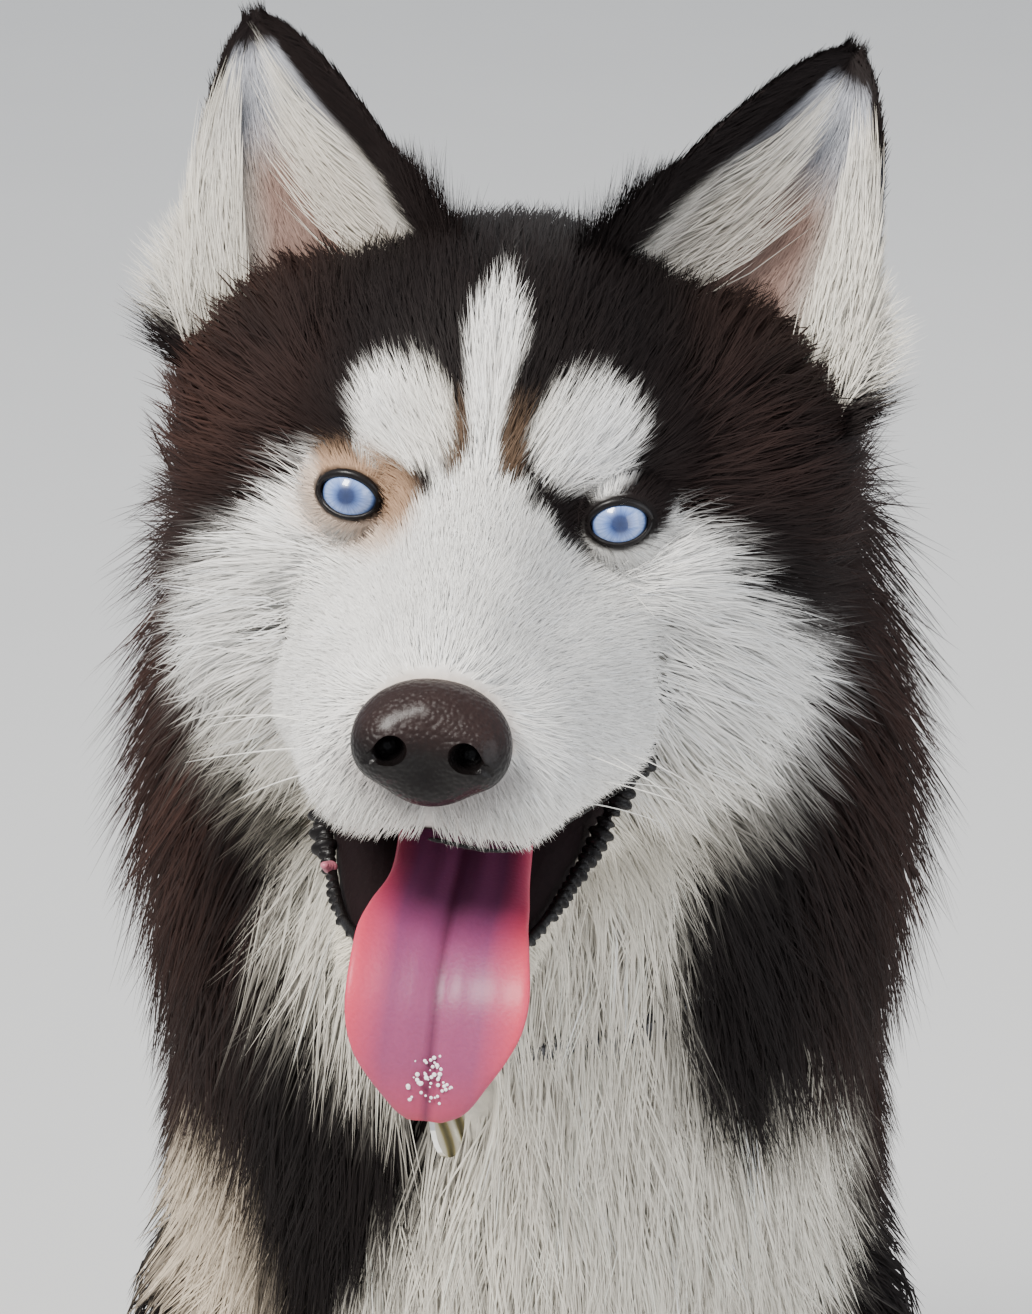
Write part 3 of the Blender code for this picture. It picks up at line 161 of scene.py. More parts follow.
class Group:
    """Masses that share a frame. A mirrored group lists one side, and holds both."""

    def __init__(self, masses, frame=None, mirrored=True):
        self.masses = masses
        self.frame = frame or Matrix.Identity(4)
        self.mirrored = mirrored

    def distance(self, points, level):
        local = into(self.frame, points)
        if self.mirrored:
            local[:, 0] = np.abs(local[:, 0])
        found = None
        for mass in self.masses:
            found = soft_union(found, mass.distance(local, level), mass.blend)
        return found

    def rough(self):
        flip = Matrix.Scale(-1.0, 4, (1, 0, 0))
        found = []
        for mass in self.masses:
            for matrix in mass.rough():
                found.append(self.frame @ matrix)
                if self.mirrored and matrix.translation.x > 0:
                    found.append(self.frame @ flip @ matrix)
        return found


def into(matrix, points):
    """World points in a frame's own coordinates."""
    inverse = np.array(matrix.inverted())
    return points @ inverse[:3, :3].T + inverse[:3, 3]


def turned(matrix, ways):
    """Directions of a frame as world directions."""
    return ways @ np.array(matrix)[:3, :3].T


def soft_union(first, second, blend):
    if first is None:
        return second
    share = np.clip(0.5 + 0.5 * (first - second) / blend, 0.0, 1.0)
    return first * (1 - share) + second * share - blend * share * (1 - share)


SKULL = Group(
    [
        # Cranium, its back and the forehead above the stop
        Ball((0, 0.060, 0.020), (0.053, 0.062, 0.045), 0, 0.013, 0.020),
        Ball((0, 0.092, 0.006), (0.042, 0.040, 0.038), 0, 0.012, 0.020),
        Ball((0, 0.030, 0.018), (0.041, 0.038, 0.034), 18, 0.007, 0.018),
        # Brows over the eyes
        Ball((0.027, 0.017, 0.0150), (0.019, 0.017, 0.012), 0, 0.003, 0.012),
        # The roots of the ears
        Ball((0.062, 0.080, 0.022), (0.022, 0.024, 0.024), 0, 0.010, 0.025),
        # Temples, cheek bones and the cheeks below them
        Ball((0.055, 0.074, 0.000), (0.022, 0.036, 0.030), 0, 0.030, 0.022),
        Ball((0.043, 0.036, -0.014), (0.018, 0.034, 0.020), 8, 0.007, 0.018),
        Ball((0.045, 0.060, -0.042), (0.026, 0.036, 0.034), 0, 0.024, 0.022),
        # Muzzle: its root below the eyes, the bridge and the deep sides
        Limb((0, 0.018, -0.027), (0, -0.068, -0.0440), (0.033, 0.0215), 0.003, 0.016),
        Limb((0, 0.006, -0.007), (0, -0.082, -0.0350), (0.0165, 0.0130), 0.003, 0.014),
        Limb((0.022, 0.000, -0.042), (0.0150, -0.070, -0.0500), (0.0235, 0.0172), 0.003, 0.012),
        # The upper lips, which hang over the sides of the mouth and meet under the nose
        Limb((0.0325, -0.008, -0.0545), (0.0165, -0.072, -0.0585), (0.0160, 0.0125), 0.003, 0.010),
        Ball((0, -0.0755, -0.0555), (0.0140, 0.0125, 0.0125), 0, 0.003, 0.010),
    ],
    HEAD,
)

JAW = Group(
    [
        Limb((0, 0.020, -0.068), (0, -0.058, -0.0640), (0.0200, 0.0120), 0.003, 0.012),
        Limb((0.027, 0.040, -0.060), (0.0125, -0.056, -0.0600), (0.0170, 0.0100), 0.003, 0.012),
        Ball((0.030, 0.052, -0.056), (0.020, 0.034, 0.026), 0, 0.012, 0.016),
    ],
    JAW_FRAME,
)

NECK = Group(
    [
        # The neck itself, then the throat
        Limb((0, 0.030, 0.690), (0, 0.108, 0.520), (0.056, 0.076), 0.036, 0.045),
        Limb((0, -0.018, 0.640), (0, 0.022, 0.485), (0.044, 0.066), 0.020, 0.050),
        # The ruff: beside the cheeks, below them and on the shoulders
        Ball((0.034, 0.036, 0.694), (0.024, 0.034, 0.044), 0, 0.040, 0.040),
        Ball((0.038, 0.038, 0.624), (0.030, 0.038, 0.055), 0, 0.066, 0.040),
        Ball((0.042, 0.050, 0.560), (0.038, 0.050, 0.062), 0, 0.044, 0.045),
    ],
)

SPINE_TURN = 38.0
TORSO = Group(
    [
        # Rib cage, breast bone, shoulder blades and withers
        Ball((0, 0.140, 0.430), (0.086, 0.108, 0.170), SPINE_TURN, 0.028, 0.040),
        Ball((0, 0.036, 0.430), (0.060, 0.060, 0.095), 0, 0.024, 0.050),
        Ball((0.058, 0.080, 0.440), (0.038, 0.060, 0.105), 12, 0.022, 0.045),
        Ball((0, 0.165, 0.535), (0.050, 0.065, 0.050), 30, 0.034, 0.040),
        # Back, loin, belly and rump
        Limb((0, 0.205, 0.500), (0, 0.335, 0.300), (0.062, 0.070), 0.032, 0.040),
        Limb((0, 0.335, 0.300), (0, 0.395, 0.135), (0.070, 0.082), 0.030, 0.040),
        Ball((0, 0.245, 0.290), (0.072, 0.085, 0.125), 30, 0.024, 0.040),
        Ball((0, 0.385, 0.105), (0.085, 0.085, 0.098), 0, 0.024, 0.040),
    ],
)

FORELEGS = Group(
    [
        Limb((0.072, 0.055, 0.400), (0.078, 0.088, 0.290), (0.048, 0.036), 0.014, 0.040),
        Limb((0.077, 0.084, 0.300), (0.074, 0.040, 0.108), (0.035, 0.0200), 0.008, 0.025),
        Limb((0.074, 0.038, 0.110), (0.074, 0.014, 0.040), (0.0210, 0.0220), 0.005, 0.015),
        Ball((0.074, -0.008, 0.0215), (0.0290, 0.0380, 0.0215), -6, 0.003, 0.012),
    ],
)

HINDLEGS = Group(
    [
        # Thigh, shank and the long hind foot laid on the floor
        Limb((0.080, 0.350, 0.150), (0.112, 0.235, 0.180), (0.080, 0.060), 0.018, 0.045),
        Ball((0.094, 0.310, 0.115), (0.054, 0.100, 0.090), 0, 0.018, 0.040),
        Limb((0.116, 0.215, 0.155), (0.120, 0.325, 0.060), (0.046, 0.036), 0.012, 0.030),
        Limb((0.126, 0.340, 0.036), (0.134, 0.195, 0.030), (0.026, 0.0240), 0.007, 0.025),
        Ball((0.136, 0.160, 0.0205), (0.0280, 0.0400, 0.0205), -5, 0.003, 0.012),
    ],
)

TOE_RADII = (0.0088, 0.0175, 0.0115)
TOE_SPREAD = (-0.0225, -0.0078, 0.0078, 0.0225)
TOE_REACH = (0.018, 0.029, 0.029, 0.018)
PAWS = (Vector((0.074, -0.010, 0.0)), Vector((0.136, 0.160, 0.0)))


def toe_places(paw):
    height = TOE_RADII[2] + 0.0015
    return [
        Vector((paw.x + side, paw.y - reach, height)) for side, reach in zip(TOE_SPREAD, TOE_REACH)
    ]


TOES = Group([Ball(p, TOE_RADII, -8, 0.002, 0.006) for paw in PAWS for p in toe_places(paw)])

TAIL_LINE = [
    (0.000, 0.430, 0.110), (0.004, 0.498, 0.068), (0.040, 0.545, 0.050), (0.105, 0.550, 0.047),
    (0.165, 0.515, 0.045), (0.212, 0.455, 0.041), (0.240, 0.395, 0.034),
]
TAIL_RADII = (0.024, 0.020, 0.017, 0.015, 0.013, 0.010, 0.006)
TAIL_COAT = 0.034
TAIL = Group(
    [
        Limb(a, b, (ra, rb), TAIL_COAT, 0.012)
        for a, b, ra, rb in zip(TAIL_LINE, TAIL_LINE[1:], TAIL_RADII, TAIL_RADII[1:])
    ],
    mirrored=False,
)

WHOLE = [TORSO, NECK, FORELEGS, HINDLEGS, TOES, TAIL, SKULL, JAW]
HEAD_PARTS = [NECK, SKULL, JAW]
JOIN = 0.012
SKIN, TIPS = 0.0, 1.0


def field(points, groups=WHOLE, level=SKIN):
    """The distance from each point to the flesh with a share of its coat, negative inside."""
    found = None
    level = np.broadcast_to(level, len(points)).astype(float)
    for group in groups:
        found = soft_union(found, group.distance(points, level), JOIN)
    return found


def slope(points, groups=WHOLE, level=SKIN, step=0.0005):
    value = field(points, groups, level)
    rise = np.empty_like(points)
    for axis in range(3):
        ahead = points.copy()
        ahead[:, axis] += step
        rise[:, axis] = (field(ahead, groups, level) - value) / step
    return value, rise


def settled(points, groups=WHOLE, level=SKIN, rounds=1):
    """The points moved along the slope onto the surface at a share of the coat."""
    for _ in range(rounds):
        value, rise = slope(points, groups, level)
        size = np.maximum((rise**2).sum(axis=1), 0.1)
        points = points - rise * (value / size)[:, None]
    return points


def unit(vectors):
    return vectors / np.maximum(np.linalg.norm(vectors, axis=-1, keepdims=True), 1e-9)


def smooth_step(low, high, value):
    share = np.clip((value - low) / (high - low), 0.0, 1.0)
    return share * share * (3 - 2 * share)


# The cuts between the head, the neck and the trunk, which also part the pieces of the coat
NECK_CUT = (np.array((0.0, 0.060, 0.555)), unit(np.array((0.0, -0.40, 0.92))))
HEAD_CUT = (
    np.array(HEAD @ Vector((0.0, 0.080, -0.035))),
    np.array((HEAD.to_3x3() @ Vector((0.0, -0.86, 0.51))).normalized()),
)


def beyond(points, cut):
    return (points - cut[0]) @ cut[1]


# Meshes
def link(name, data):
    obj = bpy.data.objects.new(name, data)
    bpy.context.scene.collection.objects.link(obj)
    return obj


def from_bmesh(name, bm):
    mesh = bpy.data.meshes.new(name)
    bm.to_mesh(mesh)
    bm.free()
    mesh.shade_smooth()
    return link(name, mesh)


def modified(obj, kind, **settings):
    """The object with one modifier made part of its mesh."""
    modifier = obj.modifiers.new(kind, kind)
    for name, value in settings.items():
        setattr(modifier, name, value)
    bpy.context.view_layer.update()
    graph = bpy.context.evaluated_depsgraph_get()
    mesh = bpy.data.meshes.new_from_object(obj.evaluated_get(graph))
    obj.modifiers.clear()
    obj.data = mesh


def boolean(obj, operation, other):
    modified(obj, "BOOLEAN", operation=operation, object=other, solver="MANIFOLD")
    bpy.data.objects.remove(other)


def places(obj):
    flat = np.empty(len(obj.data.vertices) * 3)
    obj.data.vertices.foreach_get("co", flat)
    return flat.reshape(-1, 3)


def put(obj, points):
    obj.data.vertices.foreach_set("co", points.ravel())
    obj.data.update()


def paint(obj, colours, name="Coat"):
    """A colour for each vertex, which the materials read by its name."""
    layer = obj.data.color_attributes.new(name, "FLOAT_COLOR", "POINT")
    full = np.ones((len(obj.data.vertices), 4))
    full[:, :3] = colours
    layer.data.foreach_set("color", full.ravel())


def mark(obj, values, name):
    """A number for each vertex, which the materials read by its name."""
    layer = obj.data.attributes.new(name, "FLOAT", "POINT")
    layer.data.foreach_set("value", np.asarray(values, dtype=float))


def flesh(name, groups, voxel, rounds=3):
    """A closed mesh of some groups: rough balls, fused on a voxel grid, then settled on the skin."""
    bm = bmesh.new()
    for group in groups:
        for matrix in group.rough():
            bmesh.ops.create_icosphere(bm, subdivisions=3, radius=1.0, matrix=matrix)
    bmesh.ops.recalc_face_normals(bm, faces=bm.faces)
    obj = from_bmesh(name, bm)
    modified(obj, "REMESH", mode="VOXEL", voxel_size=voxel)
    for _ in range(rounds):
        modified(obj, "SMOOTH", iterations=2, factor=0.5)
        put(obj, settled(places(obj), groups))
    return obj


def ball(radius, matrix, segments=32, rings=24):
    bm = bmesh.new()
    bmesh.ops.create_uvsphere(
        bm, u_segments=segments, v_segments=rings, radius=radius, matrix=matrix
    )
    return from_bmesh("ball", bm)


def ring_mesh(name, rings):
    """A closed mesh of rings of points, each joined to the next. A ring of one point is a pole."""
    bm = bmesh.new()
    rows = [[bm.verts.new(point) for point in ring] for ring in rings]
    for low, high in zip(rows, rows[1:]):
        sides = max(len(low), len(high))
        for s in range(sides):
            t = (s + 1) % sides
            corners = [low[s % len(low)], low[t % len(low)], high[t % len(high)], high[s % len(high)]]
            bm.faces.new(tuple(dict.fromkeys(corners)))
    for end in (rows[0], rows[-1]):
        if len(end) > 1:
            bm.faces.new(end)
    bmesh.ops.recalc_face_normals(bm, faces=bm.faces)
    return from_bmesh(name, bm)


def even_turns(count):
    return [2 * math.pi * step / count for step in range(count)]


def tube_mesh(name, line, radii, sides=10):
    """A round closed tube along a line, with its own radius at each point."""
    points = np.array([tuple(p) for p in line])
    along = unit(np.gradient(points, axis=0))
    rows = []
    for point, way, radius in zip(points, along, radii):
        aside = np.cross(way, (0.0, 0.0, 1.0))
        if np.linalg.norm(aside) < 0.2:
            aside = np.cross(way, (0.0, 1.0, 0.0))
        aside = aside / np.linalg.norm(aside)
        above = np.cross(aside, way)
        rows.append(
            [point + radius * (aside * math.cos(t) + above * math.sin(t)) for t in even_turns(sides)]
        )
    return ring_mesh(name, rows)


def joined(name, objects):
    """Several meshes as one object."""
    bm = bmesh.new()
    for obj in objects:
        bm.from_mesh(obj.data)
        bpy.data.objects.remove(obj)
    return from_bmesh(name, bm)


def finished(obj, slot, material, *nodes):
    """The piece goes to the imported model's place, with its material, and stands for some nodes."""
    obj.data.transform(Matrix.Translation(SHIFT))
    obj.data.materials.clear()
    obj.data.materials.append(material)
    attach(obj, "root")
    if nodes:
        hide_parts(*nodes)
    return obj


# The way the coat lies: places on the left side and the hair's direction there. The first list is
# in the head's frame, the second in the body's
HEAD_LIE = [
    ((0.000, -0.080, -0.020), (0.00, 0.90, 0.35)), ((0.000, -0.030, 0.000), (0.00, 0.85, 0.50)),
    ((0.000, 0.010, 0.030), (0.00, 0.35, 1.00)), ((0.028, 0.000, 0.024), (0.35, 0.25, 0.90)),
    ((0.000, 0.040, 0.060), (0.00, 0.90, 0.45)), ((0.018, -0.010, 0.000), (0.10, 0.60, 0.70)),
    ((0.055, 0.020, 0.000), (0.75, 0.65, 0.10)), ((0.034, -0.010, -0.020), (0.50, 0.80, -0.10)),
    ((0.055, 0.030, -0.030), (0.60, 0.60, -0.45)), ((0.050, 0.050, -0.060), (0.45, 0.50, -0.75)),
    ((0.030, -0.050, -0.050), (0.35, 0.85, -0.35)), ((0.010, -0.090, -0.060), (0.40, 0.40, -0.80)),
    ((0.000, -0.050, -0.090), (0.00, 0.50, -0.85)), ((0.000, 0.000, -0.120), (0.00, 0.10, -1.00)),
    ((0.075, 0.050, 0.020), (0.75, 0.50, 0.30)), ((0.000, 0.080, 0.070), (0.00, 1.00, 0.00)),
    ((0.000, 0.130, 0.030), (0.00, 0.60, -0.80)), ((0.050, 0.040, 0.055), (0.40, 0.30, 0.80)),
]
BODY_LIE = [
    ((0.000, -0.060, 0.600), (0.00, -0.30, -1.00)), ((0.060, -0.030, 0.630), (0.55, -0.25, -1.00)),
    ((0.100, 0.030, 0.640), (0.55, 0.25, -1.00)), ((0.100, 0.050, 0.540), (0.15, 0.25, -1.00)),
    ((0.000, 0.140, 0.640), (0.00, 0.70, -1.00)), ((0.050, 0.130, 0.660), (0.50, 0.60, -1.00)),
    ((0.000, 0.240, 0.520), (0.00, 0.85, -1.00)), ((0.000, 0.400, 0.300), (0.00, 0.40, -1.00)),
    ((0.110, 0.200, 0.400), (0.05, 0.60, -1.00)), ((0.140, 0.330, 0.200), (0.10, 0.80, -0.70)),
    ((0.000, -0.030, 0.430), (0.00, -0.05, -1.00)), ((0.000, 0.460, 0.100), (0.00, 0.60, -0.80)),
    ((0.080, 0.070, 0.250), (0.00, 0.25, -1.00)), ((0.074, 0.020, 0.080), (0.00, -0.25, -1.00)),
    ((0.074, -0.020, 0.038), (0.00, -1.00, -0.45)), ((0.135, 0.240, 0.055), (0.05, -1.00, -0.35)),
    ((0.136, 0.150, 0.038), (0.00, -1.00, -0.45)),
]
LIE_POWER, TAIL_LIE_POWER = 3.0, 4
LIE_NEAREST, TAIL_LIE_NEAREST = 0.008, 0.01


def guided(points, guides):
    """Directions blended from the guides around each point, mirrored for the right side."""
    sides = np.where(points[:, 0] < 0, -1.0, 1.0)
    at = points.copy()
    at[:, 0] *= sides
    spots = np.array([place for place, _ in guides])
    ways = unit(np.array([way for _, way in guides]))
    gaps = np.linalg.norm(at[:, None] - spots[None], axis=2)
    found = (1.0 / np.maximum(gaps, LIE_NEAREST) ** LIE_POWER) @ ways
    found[:, 0] *= sides
    return unit(found)


def tail_lie(points):
    line = np.array(TAIL_LINE)
    middles = (line[:-1] + line[1:]) / 2
    ways = unit(line[1:] - line[:-1])
    gaps = np.linalg.norm(points[:, None] - middles[None], axis=2)
    return unit((1.0 / np.maximum(gaps, TAIL_LIE_NEAREST) ** TAIL_LIE_POWER) @ ways)


def on_tail(points):
    near = TAIL.distance(points, np.full(len(points), 0.6))
    return smooth_step(0.020, -0.004, near) * smooth_step(0.455, 0.485, points[:, 1])


def lie(points):
    """The way the hair lies: from the nose back over the head, down the body, along the tail."""
    head = turned(HEAD, guided(into(HEAD, points), HEAD_LIE))
    body = guided(points, BODY_LIE)
    share = smooth_step(-0.030, 0.020, beyond(points, HEAD_CUT))[:, None]
    found = head * share + body * (1 - share)
    share = on_tail(points)[:, None]
    return unit(tail_lie(points) * share + found * (1 - share))


# Colours of the coat, and where each lies
BLACK_BROWN = np.array((0.0085, 0.0058, 0.0056))
# The brown of the painted sheen: highlights of light on the dark fur
BROWN = np.array((0.0700, 0.0340, 0.0260))
WHITE = np.array((0.860, 0.845, 0.820))
CREAM = np.array((0.760, 0.690, 0.550))
TAN = np.array((0.520, 0.330, 0.210))
GREY = np.array((0.330, 0.290, 0.280))
# The dark of the mouth's lining, with the shade inside the mouth painted in
MOUTH_DARK_AND_SHADE = np.array((0.0090, 0.0045, 0.0050))
LINER = np.array((0.0060, 0.0045, 0.0045))
SOLE = np.array((0.0250, 0.0200, 0.0200))
EAR_GREY = np.array((0.400, 0.410, 0.450))
# The pinkish brown of the painted shade deep in the ear's cup
EAR_CUP_SHADE = np.array((0.185, 0.090, 0.068))

# The white face's outline in the head's frame, seen from the front as (x, z), for each side
FACE_LEFT = [
    (-0.014, 0.012), (0.006, 0.010), (0.016, 0.004), (0.024, -0.004), (0.034, -0.0065),
    (0.044, -0.002), (0.054, 0.003), (0.066, -0.006), (0.079, -0.019), (0.093, -0.036),
    (0.102, -0.055), (0.101, -0.080), (0.090, -0.106), (0.077, -0.126), (0.066, -0.153),
    (-0.014, -0.175),
]
FACE_RIGHT = [
    (0.014, 0.012), (-0.006, 0.010), (-0.016, 0.004), (-0.024, -0.004), (-0.034, -0.0065),
    (-0.0415, -0.001), (-0.046, 0.010), (-0.054, 0.012), (-0.068, -0.0085), (-0.0845, -0.0285),
    (-0.091, -0.052), (-0.093, -0.0875), (-0.086, -0.119), (-0.074, -0.142), (-0.059, -0.160),
    (0.014, -0.175),
]
FACE_DEPTH = 0.082
# The blaze on the forehead: its half width at each height
BLAZE_HEIGHTS = (0.008, 0.013, 0.020, 0.030, 0.040, 0.050, 0.057, 0.064)
BLAZE_WIDTHS = (0.0140, 0.0064, 0.0052, 0.0054, 0.0070, 0.0084, 0.0055, 0.0)
# Pale spots over the eyes: middle, half sizes and slant, in the head's frame
BROW_SPOTS = [
    ((-0.0240, 0.0235), (0.0150, 0.0128), 0.30),
    ((0.0262, 0.0230), (0.0152, 0.0142), -0.35),
]
# The white of the chest, seen from the front as (x, z) in the body's frame
CHEST = [
    (0.044, 0.580), (0.048, 0.545), (0.058, 0.520), (0.090, 0.514), (0.104, 0.498), (0.100, 0.440),
    (0.085, 0.360), (-0.060, 0.360), (-0.070, 0.410), (-0.058, 0.445), (-0.046, 0.472),
    (-0.038, 0.492), (-0.030, 0.512), (-0.036, 0.540), (-0.053, 0.556), (-0.065, 0.568),
    (-0.079, 0.582), (-0.060, 0.640), (0.050, 0.640),
]
CHEST_DEPTH = 0.060
SHOULDER_SPOT = (np.array((-0.112, 0.010, 0.452)), np.array((0.040, 0.060, 0.050)))
LEG_WHITE = 0.300
BLAZE_ASIDE = 0.001
# How strong the brown painted sheen is on the ruff, on the left side's ruff and on the temples
RUFF_SHEEN, LEFT_RUFF_SHEEN, TEMPLE_SHEEN = 0.72, 0.65, 0.30
# How far the tan and the black fur reach round the eyes
TAN_REACH, RING_REACH = 0.0110, 0.0048


WAVES, WAVE_RANGE, WAVE_LEVEL = 7, (0.6, 1.7), 3.0


def ripple(points, scale, seed):
    """Smooth noise between about -1 and 1: waves in several directions."""
    rng = np.random.default_rng(seed)
    found = np.zeros(len(points))
    for _ in range(WAVES):
        way = rng.normal(size=3)
        way *= rng.uniform(*WAVE_RANGE) / np.linalg.norm(way) / scale
        found += np.sin(points @ way * 2 * math.pi + rng.uniform(0, 2 * math.pi))
    return found / WAVE_LEVEL


def outline_depth(outline, x, z):
    """How far a point is inside an outline, negative outside."""
    corners = np.array(outline)
    after = np.roll(corners, -1, axis=0)
    nearest = np.full(len(x), 1e9)
    inside = np.zeros(len(x), dtype=bool)
    for (ax, az), (bx, bz) in zip(corners, after):
        share = ((x - ax) * (bx - ax) + (z - az) * (bz - az)) / ((bx - ax) ** 2 + (bz - az) ** 2)
        share = np.clip(share, 0.0, 1.0)
        gap = np.hypot(x - ax - share * (bx - ax), z - az - share * (bz - az))
        nearest = np.minimum(nearest, gap)
        if az != bz:
            crossing = (az > z) != (bz > z)
            inside ^= crossing & (x < (bx - ax) * (z - az) / (bz - az) + ax)
    return np.where(inside, nearest, -nearest)


def white_of_head(local):
    x, y, z = local.T
    rough = 0.0022 * ripple(local, 0.030, 3) + 0.0012 * ripple(local, 0.008, 4)
    face = np.maximum(outline_depth(FACE_LEFT, x, z), outline_depth(FACE_RIGHT, x, z)) + rough
    face = smooth_step(-0.0020, 0.0030, face) * smooth_step(FACE_DEPTH, FACE_DEPTH - 0.012, y)
    blaze = np.interp(z, BLAZE_HEIGHTS, BLAZE_WIDTHS) - np.abs(x + BLAZE_ASIDE) + rough * 0.35
    blaze = smooth_step(-0.0012, 0.0016, blaze)
    blaze *= smooth_step(0.070, 0.060, z) * smooth_step(0.060, 0.050, y) * (z > 0)
    spots = np.zeros(len(x))
    for (mx, mz), (wide, high), slant in BROW_SPOTS:
        along = (x - mx) * math.cos(slant) + (z - mz) * math.sin(slant)
        above = (z - mz) * math.cos(slant) - (x - mx) * math.sin(slant)
        inside = 1 - np.hypot(along / wide, above / high) + rough * 30
        spots = np.maximum(spots, smooth_step(-0.12, 0.16, inside) * (y < 0.045))
    return face, blaze, spots


def eye_local(points, side):
    return into(eye_frame(side), points)


def near_eye(points, reach):
    """One at the edge of the eye's opening, falling to nothing at the reach around it."""
    found = np.zeros(len(points))
    for side in (1, -1):
        local = eye_local(points, side)
        gap = np.hypot(local[:, 0] / LID_OPENING[0], local[:, 2] / LID_OPENING[1]) - 1
        gap = gap * LID_OPENING[1]
        ahead = local[:, 1] < 0.004
        found = np.maximum(found, smooth_step(reach, reach * 0.35, gap) * ahead)
    return found


def mix(first, second, share):
    return first * (1 - share[:, None]) + second * share[:, None]


def painted_brown_sheen(points, local, on_head):
    """Painted sheen: brown highlights of light on the dark fur of the temples and the outer ruff, more
    on the right side.
    """
    side = np.abs(points[:, 0])
    ruff = smooth_step(0.070, 0.120, side) * smooth_step(0.420, 0.520, points[:, 2])
    ruff *= np.where(points[:, 0] < 0, 1.0, LEFT_RUFF_SHEEN)
    temple = smooth_step(0.035, 0.070, np.abs(local[:, 0])) * on_head
    temple = temple * smooth_step(-0.02, 0.02, local[:, 2])
    return np.clip(RUFF_SHEEN * ruff + TEMPLE_SHEEN * temple, 0, 0.85)


def white_of_body(points, rough):
    """White on the chest, and on the legs, the belly and the tail's underside and tip."""
    x, y, z = points.T
    chest = smooth_step(-0.004, 0.006, outline_depth(CHEST, x, z) + rough)
    chest *= smooth_step(CHEST_DEPTH, CHEST_DEPTH - 0.03, y)
    low = smooth_step(LEG_WHITE + 0.05, LEG_WHITE, z + 1.5 * rough)
    front = smooth_step(0.150, 0.110, y + 2 * rough)
    feet = smooth_step(0.100, 0.070, z + rough)
    inner = smooth_step(0.075, 0.060, np.abs(x) + rough) * smooth_step(0.340, 0.300, y)
    tail = on_tail(points)
    leg = low * np.maximum(front, np.maximum(feet, inner)) * (1 - tail)
    tail_below = tail * smooth_step(0.040, 0.022, z + rough)
    tail_tip = tail * smooth_step(0.200, 0.235, x + rough)
    return chest, np.maximum.reduce([leg, tail_below, tail_tip])


def markings(points):
    """The coat's colour at points on its outer surface."""
    local = into(HEAD, points)
    x, y, z = local.T
    count = len(points)
    white_base, cream_base = np.tile(WHITE, (count, 1)), np.tile(CREAM, (count, 1))
    on_head = smooth_step(-0.020, 0.015, beyond(points, HEAD_CUT))
    patchy = 0.5 + 0.5 * ripple(points, 0.060, 7)
    colour = np.tile(BLACK_BROWN, (count, 1))
    # Painted sheen: brown highlights on the dark fur of the temples and the outer ruff
    colour = mix(colour, BROWN, painted_brown_sheen(points, local, on_head) * (0.4 + 0.6 * patchy))
    # Brown lines beside the blaze, between the pale spots
    lines = smooth_step(0.0135, 0.0105, np.abs(x + BLAZE_ASIDE)) * smooth_step(0.008, 0.014, z)
    lines *= smooth_step(0.032, 0.024, z) * (y < 0.03) * on_head
    colour = mix(colour, TAN * 0.22, lines * 0.8)
    rough = 0.004 * ripple(points, 0.040, 9) + 0.002 * ripple(points, 0.012, 10)
    chest, below = white_of_body(points, rough)
    white = np.maximum(chest * (1 - on_head), below)
    # The pale outer fur of the right shoulder, at the lower end of the dark band, with a warm tint of
    # painted sunlight
    spot = np.linalg.norm((points - SHOULDER_SPOT[0]) / SHOULDER_SPOT[1], axis=1)
    shoulder = smooth_step(1.0, 0.55, spot + 14 * rough) * (1 - on_head)
    colour = mix(colour, CREAM * 0.62 + TAN * 0.35, shoulder)
    thigh = smooth_step(0.110, 0.150, points[:, 2]) * (points[:, 1] > 0.15) * (1 - white)
    colour = mix(colour, GREY, 0.35 * thigh * smooth_step(0.25, 0.12, points[:, 2]))
    colour = mix(colour, CREAM * 0.72 + WHITE * 0.28, white)
    face, blaze, spots = white_of_head(local)
    colour = mix(colour, mix(cream_base, WHITE, 0.5 + 0.5 * patchy), spots * on_head)
    # The face is whitest on the muzzle and creamier down the cheeks and the throat: partly the fur's own
    # cream, and partly painted shade lower down
    cream_and_shade = smooth_step(-0.050, -0.110, z) * 0.8 + 0.12
    colour = mix(colour, mix(white_base, CREAM, cream_and_shade), np.maximum(face * on_head, blaze))
    # Tan round the right eye, and black round the left one
    colour = mix(colour, TAN, near_eye(points, TAN_REACH) * (x < 0) * 0.70 * on_head)
    ring = near_eye(points, RING_REACH) * (x > 0) * 0.92
    colour = mix(colour, BLACK_BROWN * 1.5, ring * on_head)
    return np.clip(round_the_nose(colour, points, local), 0, 1)


def round_the_nose(colour, points, local):
    """Grey short fur under the nose's leather, brown just above it and a dark line down the lip."""
    x, y, z = local.T
    gap = NOSE.distance(points, np.zeros(len(points)))
    under = smooth_step(0.0150, 0.002, gap) * smooth_step(-0.046, -0.054, z)
    colour = mix(colour, GREY * 0.75, 0.75 * under)
    colour = mix(colour, TAN * 0.75, 0.50 * smooth_step(0.0060, 0.001, gap) * (z > -0.046))
    philtrum = smooth_step(0.0014, 0.0005, np.abs(x)) * (y < -0.075) * (z < -0.056)
    return mix(colour, GREY * 0.25, 0.8 * philtrum)


